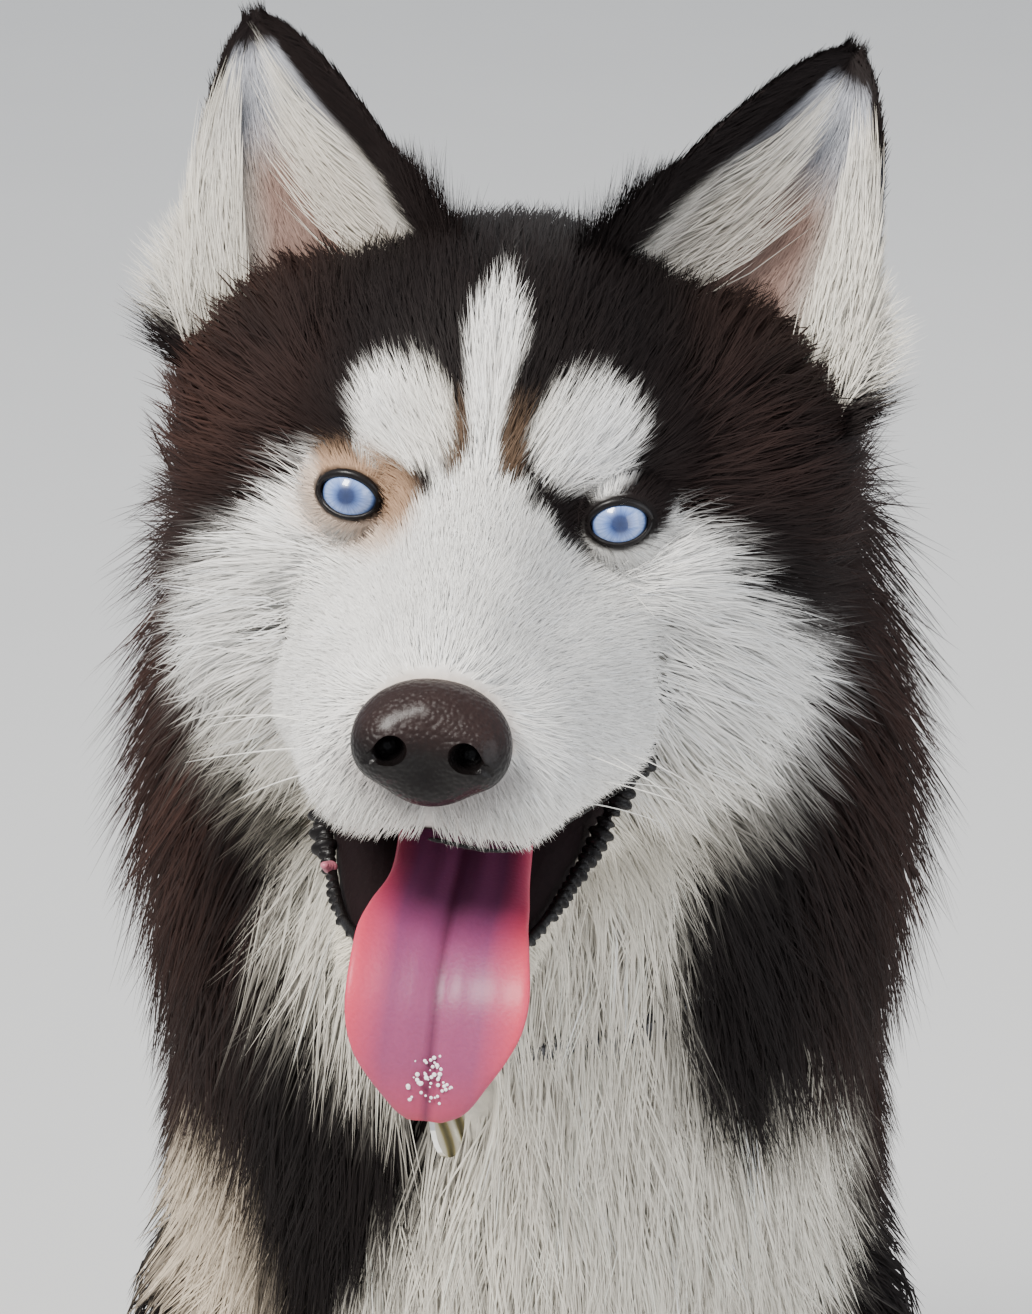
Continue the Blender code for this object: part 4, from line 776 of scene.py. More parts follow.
def mouth_inside(points, normals, margin=0.0):
    """Which points of the skin lie inside the mouth, between the lips and a margin past them."""
    head = into(HEAD, points)
    jaw = into(JAW_FRAME, points)
    aside = np.abs(head[:, 0])
    facing = turned(HEAD.inverted(), normals)
    upper = np.array(UPPER_LIP)
    lower = np.array(LOWER_LIP)
    roof = np.interp(head[:, 1], upper[::-1, 1], upper[::-1, 0]) - 0.003
    palate = (head[:, 2] < -0.0600) & (facing[:, 2] < -0.60)
    palate &= (aside < roof) & (head[:, 1] < 0.010)
    below = head[:, 2] < np.interp(aside, upper[::-1, 0], upper[::-1, 2]) + 0.002
    between = aside < np.interp(head[:, 2], lower[::-1, 2], lower[::-1, 0]) + margin
    return palate | (below & between & (jaw[:, 2] > -0.0600) & (head[:, 1] < 0.035))


# The eyes: where they sit, and the almond opening of the lids
EYE_RADIUS = 0.0112
EYE_CENTRE = Vector((0.0345, 0.0060, 0.0))
EYE_TURN_OUT = math.radians(7.0)
CORNEA_RADIUS = 0.0086
CORNEA_RISE = 0.0014
LID_DEPTH = 0.0015
SOCKET_GAP = 0.0002
RIM_RADII = {True: 0.00125, False: 0.00080}
RIM_RISE = 0.0010
LID_OPENING = (0.0082, 0.0057)
LID_TILT = math.radians(10.0)
IRIS_RADIUS = 0.0073
PUPIL_RADIUS = 0.0029
SIDES = ((1, "left"), (-1, "right"))


def eye_frame(side):
    centre = Vector((side * EYE_CENTRE.x, EYE_CENTRE.y, EYE_CENTRE.z))
    return (
        HEAD
        @ Matrix.Translation(centre)
        @ Matrix.Rotation(side * EYE_TURN_OUT, 4, "Z")
        @ Matrix.Rotation(-side * LID_TILT, 4, "Y")
    )


def eyeball(margin=0.0, segments=64, rings=56):
    """The eyeball and its cornea as one turned surface, closest-spaced at the front."""
    ahead = EYE_RADIUS + CORNEA_RISE - CORNEA_RADIUS
    rows = []
    for i in range(rings + 1):
        angle = math.pi * (i / rings) ** 1.5
        back = math.cos(angle)
        bulge = math.sqrt(max(0.0, CORNEA_RADIUS**2 - (ahead * math.sin(angle)) ** 2))
        reach = max(EYE_RADIUS, ahead * back + bulge) + margin
        radius, forward = reach * math.sin(angle), reach * back
        if i in (0, rings):
            rows.append([(0, -forward, 0)])
            continue
        turns = even_turns(segments)
        rows.append([(radius * math.cos(t), -forward, radius * math.sin(t)) for t in turns])
    return ring_mesh("eyeball", rows)


def make_eye(side, material):
    eye = eyeball()
    local = places(eye)
    flat = np.hypot(local[:, 0], local[:, 2])
    mark(eye, np.where(local[:, 1] < 0, flat / IRIS_RADIUS, 3.0), "FromAxis")
    mark(eye, np.arctan2(local[:, 2], local[:, 0]) / math.pi, "Round")
    eye.data.transform(eye_frame(side))
    word = dict(SIDES)[side]
    eye.name = f"eye_ball_{word}"
    return finished(eye, "eye_iris", material, f"eye_{word}")


def lid_edge(side, upper, count=15):
    """The rim of a lid: half of the almond opening, laid on the eyeball."""
    found = []
    for i in range(count):
        turn = math.pi * i / (count - 1)
        across = LID_OPENING[0] * 1.02 * math.cos(turn)
        rise = LID_OPENING[1] * math.sin(turn) ** 1.15
        place = Vector((across, 0.0, rise if upper else -rise))
        reach = EYE_RADIUS + RIM_RISE
        place.y = -math.sqrt(max(1e-9, reach**2 - place.x**2 - place.z**2))
        found.append(eye_frame(side) @ place)
    return found


def make_lids(side, material):
    word = dict(SIDES)[side]
    rims = []
    for upper in (True, False):
        line = lid_edge(side, upper)
        share = np.sin(np.linspace(0, math.pi, len(line)))
        rims.append(tube_mesh("rim", line, RIM_RADII[upper] * (0.55 + 0.45 * share)))
    # The dark inner corner
    corner = Vector((-side * (LID_OPENING[0] + 0.0008), -0.0062, -0.0008))
    size = Matrix.Diagonal((0.0022, 0.0016, 0.0013, 1.0))
    rims.append(ball(1.0, eye_frame(side) @ Matrix.Translation(corner) @ size, 16, 12))
    return finished(joined(f"lid_rims_{word}", rims), "coat_head", material)


def open_eye(skin, side):
    """Lids that wrap the eyeball, with an almond opening between them."""
    frame_of_eye = eye_frame(side)
    boolean(skin, "UNION", ball(EYE_RADIUS + LID_DEPTH, frame_of_eye, 48, 32))
    size = Matrix.Diagonal((LID_OPENING[0], 0.03, LID_OPENING[1], 1.0))
    opening = ball(1.0, frame_of_eye @ Matrix.Translation((0, -0.020, 0)) @ size, 48, 32)
    boolean(skin, "DIFFERENCE", opening)
    socket = eyeball(SOCKET_GAP, 32, 24)
    socket.data.transform(frame_of_eye)
    boolean(skin, "DIFFERENCE", socket)


# The nose's leather, its nostrils and the groove under them
NOSE = Group(
    [
        Ball((0, -0.0945, -0.0415), (0.0178, 0.0115, 0.0125), 8, 0.0, 0.006),
        Ball((0.0105, -0.0980, -0.0460), (0.0086, 0.0085, 0.0090), 0, 0.0, 0.006),
        Ball((0, -0.0960, -0.0540), (0.0090, 0.0070, 0.0060), 0, 0.0, 0.006),
    ],
    HEAD,
)
NOSTRILS = Group(
    [
        Limb((0.0084, -0.1085, -0.0452), (0.0100, -0.1020, -0.0455), (0.0040, 0.0032), 0, 0.002),
        Limb((0.0098, -0.1080, -0.0462), (0.0156, -0.1065, -0.0486), (0.0027, 0.0016), 0, 0.002),
        Limb((0.0156, -0.1065, -0.0486), (0.0188, -0.1020, -0.0520), (0.0016, 0.0011), 0, 0.002),
    ],
    HEAD,
)
PHILTRUM = [
    (0, -0.1078, -0.0465), (0, -0.1062, -0.0515), (0, -0.1035, -0.0575), (0, -0.0985, -0.0615),
]
PHILTRUM_RADIUS = 0.0007
NOSE_VOXEL, NOSTRIL_VOXEL = 0.0007, 0.0005


def make_nose(material):
    nose = flesh("nose_leather", [NOSE], NOSE_VOXEL, 4)
    boolean(nose, "DIFFERENCE", flesh("nostrils", [NOSTRILS], NOSTRIL_VOXEL, 2))
    line = [HEAD @ Vector(point) for point in PHILTRUM]
    boolean(nose, "DIFFERENCE", tube_mesh("groove", line, [PHILTRUM_RADIUS] * len(line), 8))
    local = into(HEAD, places(nose))
    depth = -NOSE.distance(places(nose), np.zeros(len(local)))
    # Marks for painted shade: deep in the nostrils, and on the nose's underside
    mark(nose, smooth_step(0.0004, 0.0022, depth), "NostrilShade")
    mark(nose, smooth_step(-0.038, -0.048, local[:, 2]), "UnderShade")
    return finished(nose, "nose_leather", material, "nose")


# Lips, in the head's frame: from the left corner of the mouth to the middle
UPPER_LIP = [
    (0.0505, 0.0020, -0.0580), (0.0460, -0.0160, -0.0700), (0.0400, -0.0340, -0.0745),
    (0.0320, -0.0560, -0.0755), (0.0190, -0.0760, -0.0750), (0.0000, -0.0840, -0.0730),
]
LOWER_LIP = [
    (0.0505, 0.0020, -0.0580), (0.0465, 0.0065, -0.0680), (0.0420, 0.0110, -0.0790),
    (0.0370, 0.0100, -0.0890), (0.0325, -0.0055, -0.0955), (0.0280, -0.0220, -0.1025),
    (0.0215, -0.0360, -0.1080), (0.0120, -0.0460, -0.1120), (0.0000, -0.0500, -0.1140),
]
LIP_RADIUS = 0.0016
UPPER_LIP_RADIUS = 0.0007
LIP_BEAD = 0.0030
BEAD_SHAPE = (0.46, 1.10, 0.80)
LIP_VOXEL = 0.00055
MOUTH_MIDDLE = Vector((0.0, 0.0, -0.085))
BEAD_STEP = 0.0034
RIGHT_LIP_TOP = -0.086
PAPILLA_HEIGHT = -0.0985
LEFT_LIP_TOP = -0.0615
LIP_LEVEL = 0.85
LIP_CLEAR = 0.0036
LINING_MARGIN = 0.0030


def evenly(line, step):
    """Points an even step apart along a line."""
    line = np.array(line)
    gone = np.concatenate([[0], np.cumsum(np.linalg.norm(np.diff(line, axis=0), axis=1))])
    at = np.linspace(0, gone[-1], max(2, int(gone[-1] / step) + 1))
    return np.stack([np.interp(at, gone, line[:, k]) for k in range(3)], axis=1)


def lip_line(corners):
    """The lip's line from the left corner of the mouth to the right one, laid in the coat."""
    left = [Vector(corner) for corner in corners]
    right = [Vector((-corner.x, corner.y, corner.z)) for corner in reversed(left[:-1])]
    line = evenly([tuple(HEAD @ point) for point in left + right], 0.002)
    line = settled(line, HEAD_PARTS, LIP_LEVEL, rounds=6)
    for _ in range(6):
        line[1:-1] = (line[:-2] + 2 * line[1:-1] + line[2:]) / 4
    return line


def make_lips(material):
    """Thin dark edges, and along the lower lip a row of soft points that grows to the corners."""
    rng = np.random.default_rng(SEED)
    pieces = []
    for corners, radius in ((UPPER_LIP, UPPER_LIP_RADIUS), (LOWER_LIP, LIP_RADIUS)):
        line = lip_line(corners)
        swell = 0.35 + 0.65 * np.sin(np.linspace(0, math.pi, len(line)))
        x, _, z = into(HEAD, line).T
        low = smooth_step(RIGHT_LIP_TOP + 0.006, RIGHT_LIP_TOP, z)
        shown = 0.12 + 0.88 * np.where(x < 0, low, 1.0)
        pieces.append(tube_mesh("lip", line, radius * swell * shown))
    beads = evenly(lip_line(LOWER_LIP), BEAD_STEP)
    along = unit(np.gradient(beads, axis=0))
    ahead = np.array(HEAD.to_3x3() @ Vector((0.0, -1.0, 0.2)))
    mouth = np.array(HEAD @ MOUTH_MIDDLE)
    for point, way, (x, _, z) in zip(beads, along, into(HEAD, beads)):
        # The right side's lip shows only low down, and its points grow to the left corner
        if (x < 0 and z > RIGHT_LIP_TOP) or z > LEFT_LIP_TOP:
            continue
        size = LIP_BEAD * (0.5 + 0.6 * smooth_step(-0.108, -0.088, z)) * rng.uniform(0.7, 1.25)
        out = unit(np.cross(way, ahead))
        out = out * np.sign(out @ (point - mouth))
        place = np.eye(4)
        for column, axis in enumerate((way, out, np.cross(way, out))):
            place[:3, column] = axis * size * BEAD_SHAPE[column]
        place[:3, 3] = point + out * size * 0.30 + ahead * size * 0.25
        pieces.append(ball(1.0, Matrix(place.tolist()), 14, 10))
    lips = joined("lips", pieces)
    modified(lips, "REMESH", mode="VOXEL", voxel_size=LIP_VOXEL)
    modified(lips, "SMOOTH", iterations=3)
    return finished(lips, "coat_head", material)


def make_papilla(material):
    """The one pink point at the right corner of the lower lip."""
    lower = lip_line(LOWER_LIP)
    local = into(HEAD, lower)
    spot = lower[np.argmin(np.abs(local[:, 2] - PAPILLA_HEIGHT) + (local[:, 0] > 0))]
    out = np.array(HEAD.to_3x3() @ Vector((-0.35, -0.8, 0.3)))
    pieces = []
    for i in range(4):
        place = Matrix.Translation(spot + out * (0.0012 + 0.0011 * i))
        size = 0.0021 - 0.0003 * i
        pieces.append(ball(1.0, place @ Matrix.Diagonal((size, size, size * 0.8, 1)), 14, 10))
    return finished(joined("lip_point", pieces), "tongue_flesh", material)


# The tongue lies along the jaw and hangs over it: stations of (y, z, half width, half thickness)
TONGUE_ASIDE = 0.0045
TONGUE_STATIONS = [
    (0.0200, -0.0700, 0.0150, 0.0070),
    (0.0020, -0.0790, 0.0170, 0.0065),
    (-0.0160, -0.0885, 0.0180, 0.0058),
    (-0.0340, -0.0960, 0.0182, 0.0052),
    (-0.0500, -0.1010, 0.0202, 0.0047),
    (-0.0620, -0.1070, 0.0226, 0.0043),
    (-0.0690, -0.1160, 0.0230, 0.0040),
    (-0.0710, -0.1265, 0.0200, 0.0037),
    (-0.0705, -0.1360, 0.0150, 0.0033),
    (-0.0695, -0.1430, 0.0096, 0.0028),
    (-0.0688, -0.1465, 0.0046, 0.0018),
]
TONGUE_SIDES = 64
TONGUE_ROWS = 72
TONGUE_GROOVE = 0.0021
TONGUE_CURL = 0.0040
TONGUE_HALF_WIDTH = 0.0226
TONGUE_CLEAR = 0.018
FOAM_BUBBLES = 150


def eased(stations, count):
    """Smooth values through the stations, at even shares of the way."""
    stations = np.array(stations)
    at = np.linspace(0, len(stations) - 1, count)
    low = np.clip(at.astype(int), 0, len(stations) - 2)
    share = (at - low)[:, None]
    last = len(stations) - 1
    a, b, c, d = (stations[np.clip(low + step, 0, last)] for step in (-1, 0, 1, 2))
    return 0.5 * (
        2 * b + (c - a) * share + (2 * a - 5 * b + 4 * c - d) * share**2
        + (3 * b - a - 3 * c + d) * share**3
    )


def make_tongue(material):
    """A flat tongue with a groove along it, whose sides curl up and whose edge waves a little."""
    stations = eased(TONGUE_STATIONS, TONGUE_ROWS)
    along = unit(np.gradient(stations[:, :2], axis=0))
    rows, across_marks, down_marks = [], [], []
    for i, (y, z, width, thick) in enumerate(stations):
        out = Vector((0, -along[i][1], along[i][0]))
        hang = i / (TONGUE_ROWS - 1)
        row = []
        for angle in even_turns(TONGUE_SIDES):
            across = width * math.cos(angle)
            depth = thick * math.copysign(abs(math.sin(angle)) ** 0.8, math.sin(angle))
            if depth < 0:
                depth += TONGUE_GROOVE * math.exp(-((across / 0.0030) ** 2)) * (1 - 0.6 * hang)
                depth += 0.0004 * math.sin(across * 700 + 3 * hang) * (1 - hang)
            depth -= TONGUE_CURL * (across / 0.02) ** 2
            wave = 0.0006 * math.sin(hang * 21 + (1 if across > 0 else 2.3)) * abs(math.cos(angle))
            row.append(HEAD @ (Vector((across + TONGUE_ASIDE + wave, y, z)) + out * depth))
            across_marks.append(across / TONGUE_HALF_WIDTH)
            down_marks.append(hang)
        rows.append(row)
    tongue = ring_mesh("tongue_flesh", rows)
    mark(tongue, across_marks, "Across")
    mark(tongue, down_marks, "Down")
    return finished(tongue, "tongue_flesh", material, "tongue")


def make_spit(material):
    """Bubbles of foam on the hanging end of the tongue."""
    rng = np.random.default_rng(SEED + 1)
    pieces = []
    for _ in range(FOAM_BUBBLES):
        drop = rng.beta(1.8, 1.8)
        z = -0.1215 - 0.020 * drop
        x = TONGUE_ASIDE + 0.0095 - 0.0075 * drop + rng.normal(0, 0.0046)
        y = -0.0744 + 0.0030 * smooth_step(-0.136, -0.146, z)
        y += 0.35 * abs(x - TONGUE_ASIDE) ** 2 / 0.02
        size = rng.uniform(0.00020, 0.00062)
        place = HEAD @ Matrix.Translation((x, y, z))
        pieces.append(ball(1.0, place @ Matrix.Diagonal((size, size * 0.5, size, 1)), 8, 6))
    return finished(joined("tongue_foam", pieces), "tongue_flesh", material)


# The ears, in the head's frame: the middle of the base and the tip, and the cup's shape
EAR_BASE = Vector((0.0560, 0.0520, 0.0460))
EAR_TIPS = {1: Vector((0.0835, 0.0590, 0.1245)), -1: Vector((-0.0790, 0.0590, 0.1185))}
EAR_FACING = Vector((0.30, -0.95, 0.10))
EAR_HALF_WIDTH = 0.0425
EAR_CUP = 0.0230
EAR_THICKNESS = 0.0034
EAR_ROOT = -0.25
EAR_COLUMNS = 36
EAR_ROWS = 40


def ear_point(side, u, t, out=0.0):
    """Points of the ear's sheet: across from -1 to 1, up from the root to 1, and out to the front."""
    mirror = np.array((side, 1.0, 1.0))
    base = np.array(EAR_BASE) * mirror
    tip = np.array(EAR_TIPS[side])
    up = unit(tip - base)
    across = unit(np.cross(up, np.array(EAR_FACING) * mirror))
    front = np.cross(across, up)
    u, t = np.broadcast_arrays(np.asarray(u, dtype=float), np.asarray(t, dtype=float))
    grown = np.clip(t, 0, 1)
    width = EAR_HALF_WIDTH * np.maximum(0.06, np.sqrt(1 - grown**3) * (1 - 0.55 * grown))
    cup = EAR_CUP * (1 - 0.85 * grown)
    height = np.linalg.norm(tip - base)
    tilt = np.arctan2(2 * cup * u, width)
    ahead = cup * (u * u - 1) + out * np.cos(tilt)
    aside = u * width - out * np.sin(tilt)
    local = (
        base + np.multiply.outer(t * height, up) + np.multiply.outer(aside, across)
        + np.multiply.outer(ahead, front)
    )
    return turned(HEAD, local) + np.array(HEAD.translation)


def inner_edge(side, u):
    """One at the ear's edge towards the forehead, minus one at the outer edge."""
    return np.asarray(u) * (-side)


def ear_colour(side, u, t, back):
    """Dark behind, on the inner rim and at the tip. Pale inside, with pinkish brown painted shade deep
    in the cup.
    """
    u, t = np.broadcast_arrays(np.asarray(u, dtype=float), np.asarray(t, dtype=float))
    inner = inner_edge(side, u)
    count = len(u)
    rim = smooth_step(0.0, 0.18, inner - 0.62 + 0.36 * smooth_step(0.30, 0.95, t))
    outer = smooth_step(0.86, 0.95, -inner) * smooth_step(0.55, 0.75, t)
    dark = np.maximum.reduce([rim, outer, smooth_step(0.85, 0.94, t)])
    front = np.tile(CREAM * 0.45 + WHITE * 0.50, (count, 1))
    front = mix(front, EAR_GREY, smooth_step(0.42, 0.66, t))
    # Painted shade: pinkish brown deep in the ear's cup
    deep = smooth_step(0.80, 0.30, np.abs(inner + 0.05)) * smooth_step(0.72, 0.42, t)
    front = mix(front, EAR_CUP_SHADE, 0.88 * deep)
    front = mix(front, BLACK_BROWN * 1.4, smooth_step(0.02, -0.08, t))
    front = mix(front, BLACK_BROWN * 1.4, dark)
    behind = np.tile(BLACK_BROWN * 1.2, (count, 1))
    return mix(front, behind, np.broadcast_to(np.asarray(back, dtype=float), (count,)))


def make_ear(side, material):
    word = dict(SIDES)[side]
    half = EAR_THICKNESS / 2
    us = np.linspace(-1, 1, EAR_COLUMNS + 1)
    ts = EAR_ROOT + (1 - EAR_ROOT) * np.linspace(0, 1, EAR_ROWS + 1)
    grid_t, grid_u = np.meshgrid(ts, us, indexing="ij")
    flat_u, flat_t = grid_u.ravel(), grid_t.ravel()
    thin = half * (1 - 0.6 * np.clip(flat_t, 0, 1)) * np.sqrt(1 - 0.9 * flat_u**2)
    fronts = ear_point(side, flat_u, flat_t, thin)
    backs = ear_point(side, flat_u, flat_t, -thin)
    bm = bmesh.new()
    front = [bm.verts.new(p) for p in fronts]
    back = [bm.verts.new(p) for p in backs]
    wide = EAR_COLUMNS + 1

    def at(layer, row, column):
        return layer[row * wide + column]

    for r in range(EAR_ROWS):
        for c in range(EAR_COLUMNS):
            for layer in (front, back):
                corners = ((r, c), (r, c + 1), (r + 1, c + 1), (r + 1, c))
                bm.faces.new([at(layer, *corner) for corner in corners])
    edge = [(0, c) for c in range(wide)] + [(r, wide - 1) for r in range(1, EAR_ROWS + 1)]
    edge += [(EAR_ROWS, c) for c in range(wide - 2, -1, -1)]
    edge += [(r, 0) for r in range(EAR_ROWS - 1, 0, -1)]
    for a, b in zip(edge, edge[1:] + edge[:1]):
        bm.faces.new((at(front, *a), at(front, *b), at(back, *b), at(back, *a)))
    bmesh.ops.recalc_face_normals(bm, faces=bm.faces)
    ear = from_bmesh(f"ear_skin_{word}", bm)
    both = np.concatenate([flat_u, flat_u]), np.concatenate([flat_t, flat_t])
    behind = np.concatenate([np.zeros(len(flat_u)), np.ones(len(flat_u))])
    paint(ear, ear_colour(side, *both, behind))
    return finished(ear, "coat_ear", material, f"ear_{word}")


def many(count):
    return int(count * FEWER)


# Blades of hair: closed three-sided spikes that taper from the root to a point
class Blades:
    """Hairs as arrays, one row each: their stations and sides there, widths, unwrap and colours."""

    def __init__(self, line, aside, above, ground, width, unwrap, colour, tip_colour):
        self.line = line
        self.aside = aside
        self.above = above
        self.ground = ground
        self.width = width
        self.unwrap = unwrap
        self.colour = colour
        self.tip_colour = tip_colour

    def kept(self, mask):
        return Blades(*(part[mask] for part in vars(self).values()))


# The size of a hair's patch on the unwrap, its width at each ring and its corners
PATCH = 0.003
# Stations along a hair of a tuft, and how much of each step goes along the skin
STATIONS = 3
LEAN = math.cos(0.35)
# How hairs vary: ranges are shares of the usual size, spreads are shares or radians
WIDTHS = (0.7, 1.3)
STRAY = 0.14
SHORT_SIZES, SHORT_RISES, SHORT_ROLL = (0.75, 1.25), (0.45, 0.95), 0.5
FLATTEST, STEEPEST = 0.14, 0.80
EYE_TRIM, EYE_TRIM_REACH = 0.50, 0.012
SHORT_ROOT, TUFT_ROOT, EDGE_ROOT = 0.0010, 0.0015, 0.0015
WIDER_BY_DEPTH = 14
TUFT_SIZES, TUFT_REACHES, TUFT_CURL, TUFT_ROLL = (0.75, 1.2), (0.62, 1.04), 0.22, 0.7
TUFT_GATHERS, TUFT_TRIMS, TUFT_SAGS = (0.25, 0.6), (0.78, 1.06), (0.0, 0.25)
EAR_SIZES, EAR_LIFTS, EDGE_SIZES, EDGE_STANDS = (0.6, 1.3), (0.5, 1.4), (0.55, 1.25), (0.4, 1.4)
TIP_SHARE, TUFT_SHARE = 0.16, 0.22
TAPER = (1.0, 0.72)
CORNERS = ((-1.0, -0.20), (1.0, -0.20), (0.0, 0.45))
# How much of a hair's own roundness shows in its shading, against the soft shape of the coat
OWN_SHADE = 0.30


def blade_arrays(blades):
    """Vertices, triangles, colours and unwrap of the blades."""
    count, stations = blades.line.shape[:2]
    rings = stations - 1
    each = 3 * rings + 1
    points = np.empty((count, each, 3))
    normals = np.empty((count, each, 3))
    shares = np.empty(each)
    for s in range(rings):
        half = blades.width[:, None] * TAPER[s] / 2
        for k, (across, up) in enumerate(CORNERS):
            points[:, 3 * s + k] = (
                blades.line[:, s]
                + blades.aside[:, s] * across * half
                + blades.above[:, s] * up * half * 1.3
            )
            normals[:, 3 * s + k] = (
                blades.ground[:, s]
                + OWN_SHADE * (blades.aside[:, s] * across * 0.8 + blades.above[:, s] * up)
            )
            shares[3 * s + k] = s / rings
    points[:, -1] = blades.line[:, -1]
    normals[:, -1] = blades.ground[:, -1]
    shares[-1] = 1.0
    faces = [(0, 2, 1)]
    for s in range(rings - 1):
        for k in range(3):
            a, b = 3 * s + k, 3 * s + (k + 1) % 3
            faces += [(a, b, b + 3), (a, b + 3, a + 3)]
    last = 3 * (rings - 1)
    faces += [(last + k, last + (k + 1) % 3, each - 1) for k in range(3)]
    faces = np.array(faces)
    triangles = (np.arange(count)[:, None, None] * each + faces[None]).reshape(-1, 3)
    share = shares[None, :, None]
    colours = blades.colour[:, None] * (1 - share) + blades.tip_colour[:, None] * share
    spread = np.array([c[0] for c in CORNERS] * rings + [0.0])
    local = np.stack([spread / 2, shares - 0.5], axis=1) * PATCH
    unwrap = np.clip(blades.unwrap[:, None] + local[None], 0, 1)
    return (
        points.reshape(-1, 3), triangles, colours.reshape(-1, 3), unwrap.reshape(-1, 2),
        unit(normals.reshape(-1, 3)),
    )


def coat_mesh(name, hairs):
    """One mesh of all the hairs, with their colours and their unwrap."""
    parts = [blade_arrays(blades) for blades in hairs if len(blades.line)]
    offset = 0
    for part in parts:
        part[1][:] += offset
        offset += len(part[0])
    points, triangles, colours, unwrap, normals = (np.concatenate(part) for part in zip(*parts))
    points[:, 2] = np.maximum(points[:, 2], FLOOR + 0.0004)
    mesh = bpy.data.meshes.new(name)
    mesh.vertices.add(len(points))
    mesh.vertices.foreach_set("co", points.ravel())
    mesh.loops.add(triangles.size)
    mesh.loops.foreach_set("vertex_index", triangles.ravel().astype(np.int32))
    mesh.polygons.add(len(triangles))
    mesh.polygons.foreach_set("loop_start", np.arange(0, triangles.size, 3, dtype=np.int32))
    mesh.update(calc_edges=True)
    mesh.shade_smooth()
    layer = mesh.uv_layers.new(name="OFBake")
    layer.data.foreach_set("uv", unwrap[triangles.ravel()].ravel())
    soft = mesh.attributes.new("custom_normal", "FLOAT_VECTOR", "POINT")
    soft.data.foreach_set("vector", normals.ravel())
    obj = link(name, mesh)
    paint(obj, colours)
    return obj


def bare_places(points, normals):
    """Places with no hair: the mouth, the nose, the eyes' openings and the soles."""
    bare = mouth_inside(points, normals)
    bare |= NOSE.distance(points, np.zeros(len(points))) < 0.0002
    for side in (1, -1):
        x, y, z = eye_local(points, side).T
        wide = np.hypot(x / (LID_OPENING[0] + 0.0010), z / (LID_OPENING[1] + 0.0009))
        bare |= (wide < 1.0) & (y < 0.004) & (y > -0.03)
        bare |= np.linalg.norm((x, y, z), axis=0) < EYE_RADIUS + 0.0006
    return bare | (points[:, 2] < FLOOR + 0.004)


class Ground:
    """The skin as arrays: its triangles, and what grows at each of its vertices."""

    def __init__(self, skin):
        mesh = skin.data
        mesh.calc_loop_triangles()
        count = len(mesh.loop_triangles)
        self.corners = np.empty(count * 3, dtype=np.int32)
        mesh.loop_triangles.foreach_get("vertices", self.corners)
        self.corners = self.corners.reshape(-1, 3)
        loops = np.empty(count * 3, dtype=np.int32)
        mesh.loop_triangles.foreach_get("loops", loops)
        flat = np.empty(len(mesh.loops) * 2)
        mesh.uv_layers["OFBake"].data.foreach_get("uv", flat)
        self.unwrap = flat.reshape(-1, 2)[loops].reshape(-1, 3, 2)
        self.points = places(skin)
        normals = np.empty(len(self.points) * 3)
        mesh.vertices.foreach_get("normal", normals)
        self.normals = normals.reshape(-1, 3)
        a, b, c = (self.points[self.corners[:, k]] for k in range(3))
        self.areas = np.linalg.norm(np.cross(b - a, c - a), axis=1) / 2
        self.depth = np.maximum(-field(self.points, WHOLE, TIPS), 0.0015)

    def roots(self, count, weight, rng):
        """Roots spread over the skin by area and a weight for each vertex, evenly along its mesh."""
        weights = self.areas * weight[self.corners].mean(axis=1)
        total = np.cumsum(weights)
        at = (np.arange(count) + rng.uniform(0, 1, count)) / count * total[-1]
        chosen = np.searchsorted(total, at)
        share = rng.uniform(0, 1, (count, 2))
        share[share.sum(axis=1) > 1] = 1 - share[share.sum(axis=1) > 1]
        share = np.column_stack([1 - share.sum(axis=1), share])
        pick = self.corners[chosen]
        at, normal, unwrap = (
            (values * share[:, :, None]).sum(axis=1)
            for values in (self.points[pick], self.normals[pick], self.unwrap[chosen])
        )
        normal = unit(normal)
        depth = (self.depth[pick] * share).sum(axis=1)
        grown = ~bare_places(at, normal)
        return at[grown], normal[grown], depth[grown], unwrap[grown]


def sunk(line, normal, amount):
    """The first station of each blade pushed into the skin."""
    line[:, 0] -= normal * amount
    return line


def varied_colour(colour, rng, spread):
    """Each tuft a little lighter or darker than its neighbours."""
    value = rng.normal(1.0, spread, len(colour)).clip(0.55, 1.5)
    return np.clip(colour * value[:, None], 0, 0.95)


def between_stations(line, shares=(0.33, 0.66, 1.0)):
    """Points along each hair, past its root."""
    found = []
    for a, b in zip(range(line.shape[1] - 1), range(1, line.shape[1])):
        found += [line[:, a] * (1 - share) + line[:, b] * share for share in shares]
    return found


def tips_clear(line):
    """Which hairs keep out of the eyes, the nose's leather, the tag's place, the tongue and the lips."""
    clear = np.ones(len(line), dtype=bool)
    for points in between_stations(line):
        for side in (1, -1):
            x, y, z = eye_local(points, side).T
            wide = np.hypot(x / LID_OPENING[0], z / LID_OPENING[1])
            clear &= ~((wide < 1.02) & (y < 0) & (y > -0.04))
        clear &= NOSE.distance(points, np.zeros(len(points))) > -0.0006
        clear &= np.linalg.norm(into(TAG_SPACE, points) / TAG_CLEAR, axis=1) > 1
        x, y, z = into(HEAD, points).T
        over_tongue = (np.abs(x - TONGUE_ASIDE) < TONGUE_CLEAR) & (y < -0.03)
        clear &= ~(over_tongue & (z < -0.074) & (z > -0.14))
        near = np.flatnonzero((z < -0.054) & (z > -0.12) & (y < 0.02))
        if len(near):
            gaps = np.linalg.norm(points[near, None] - LIP_BEADS[None], axis=2).min(axis=1)
            clear[near] &= gaps > LIP_CLEAR
    return clear


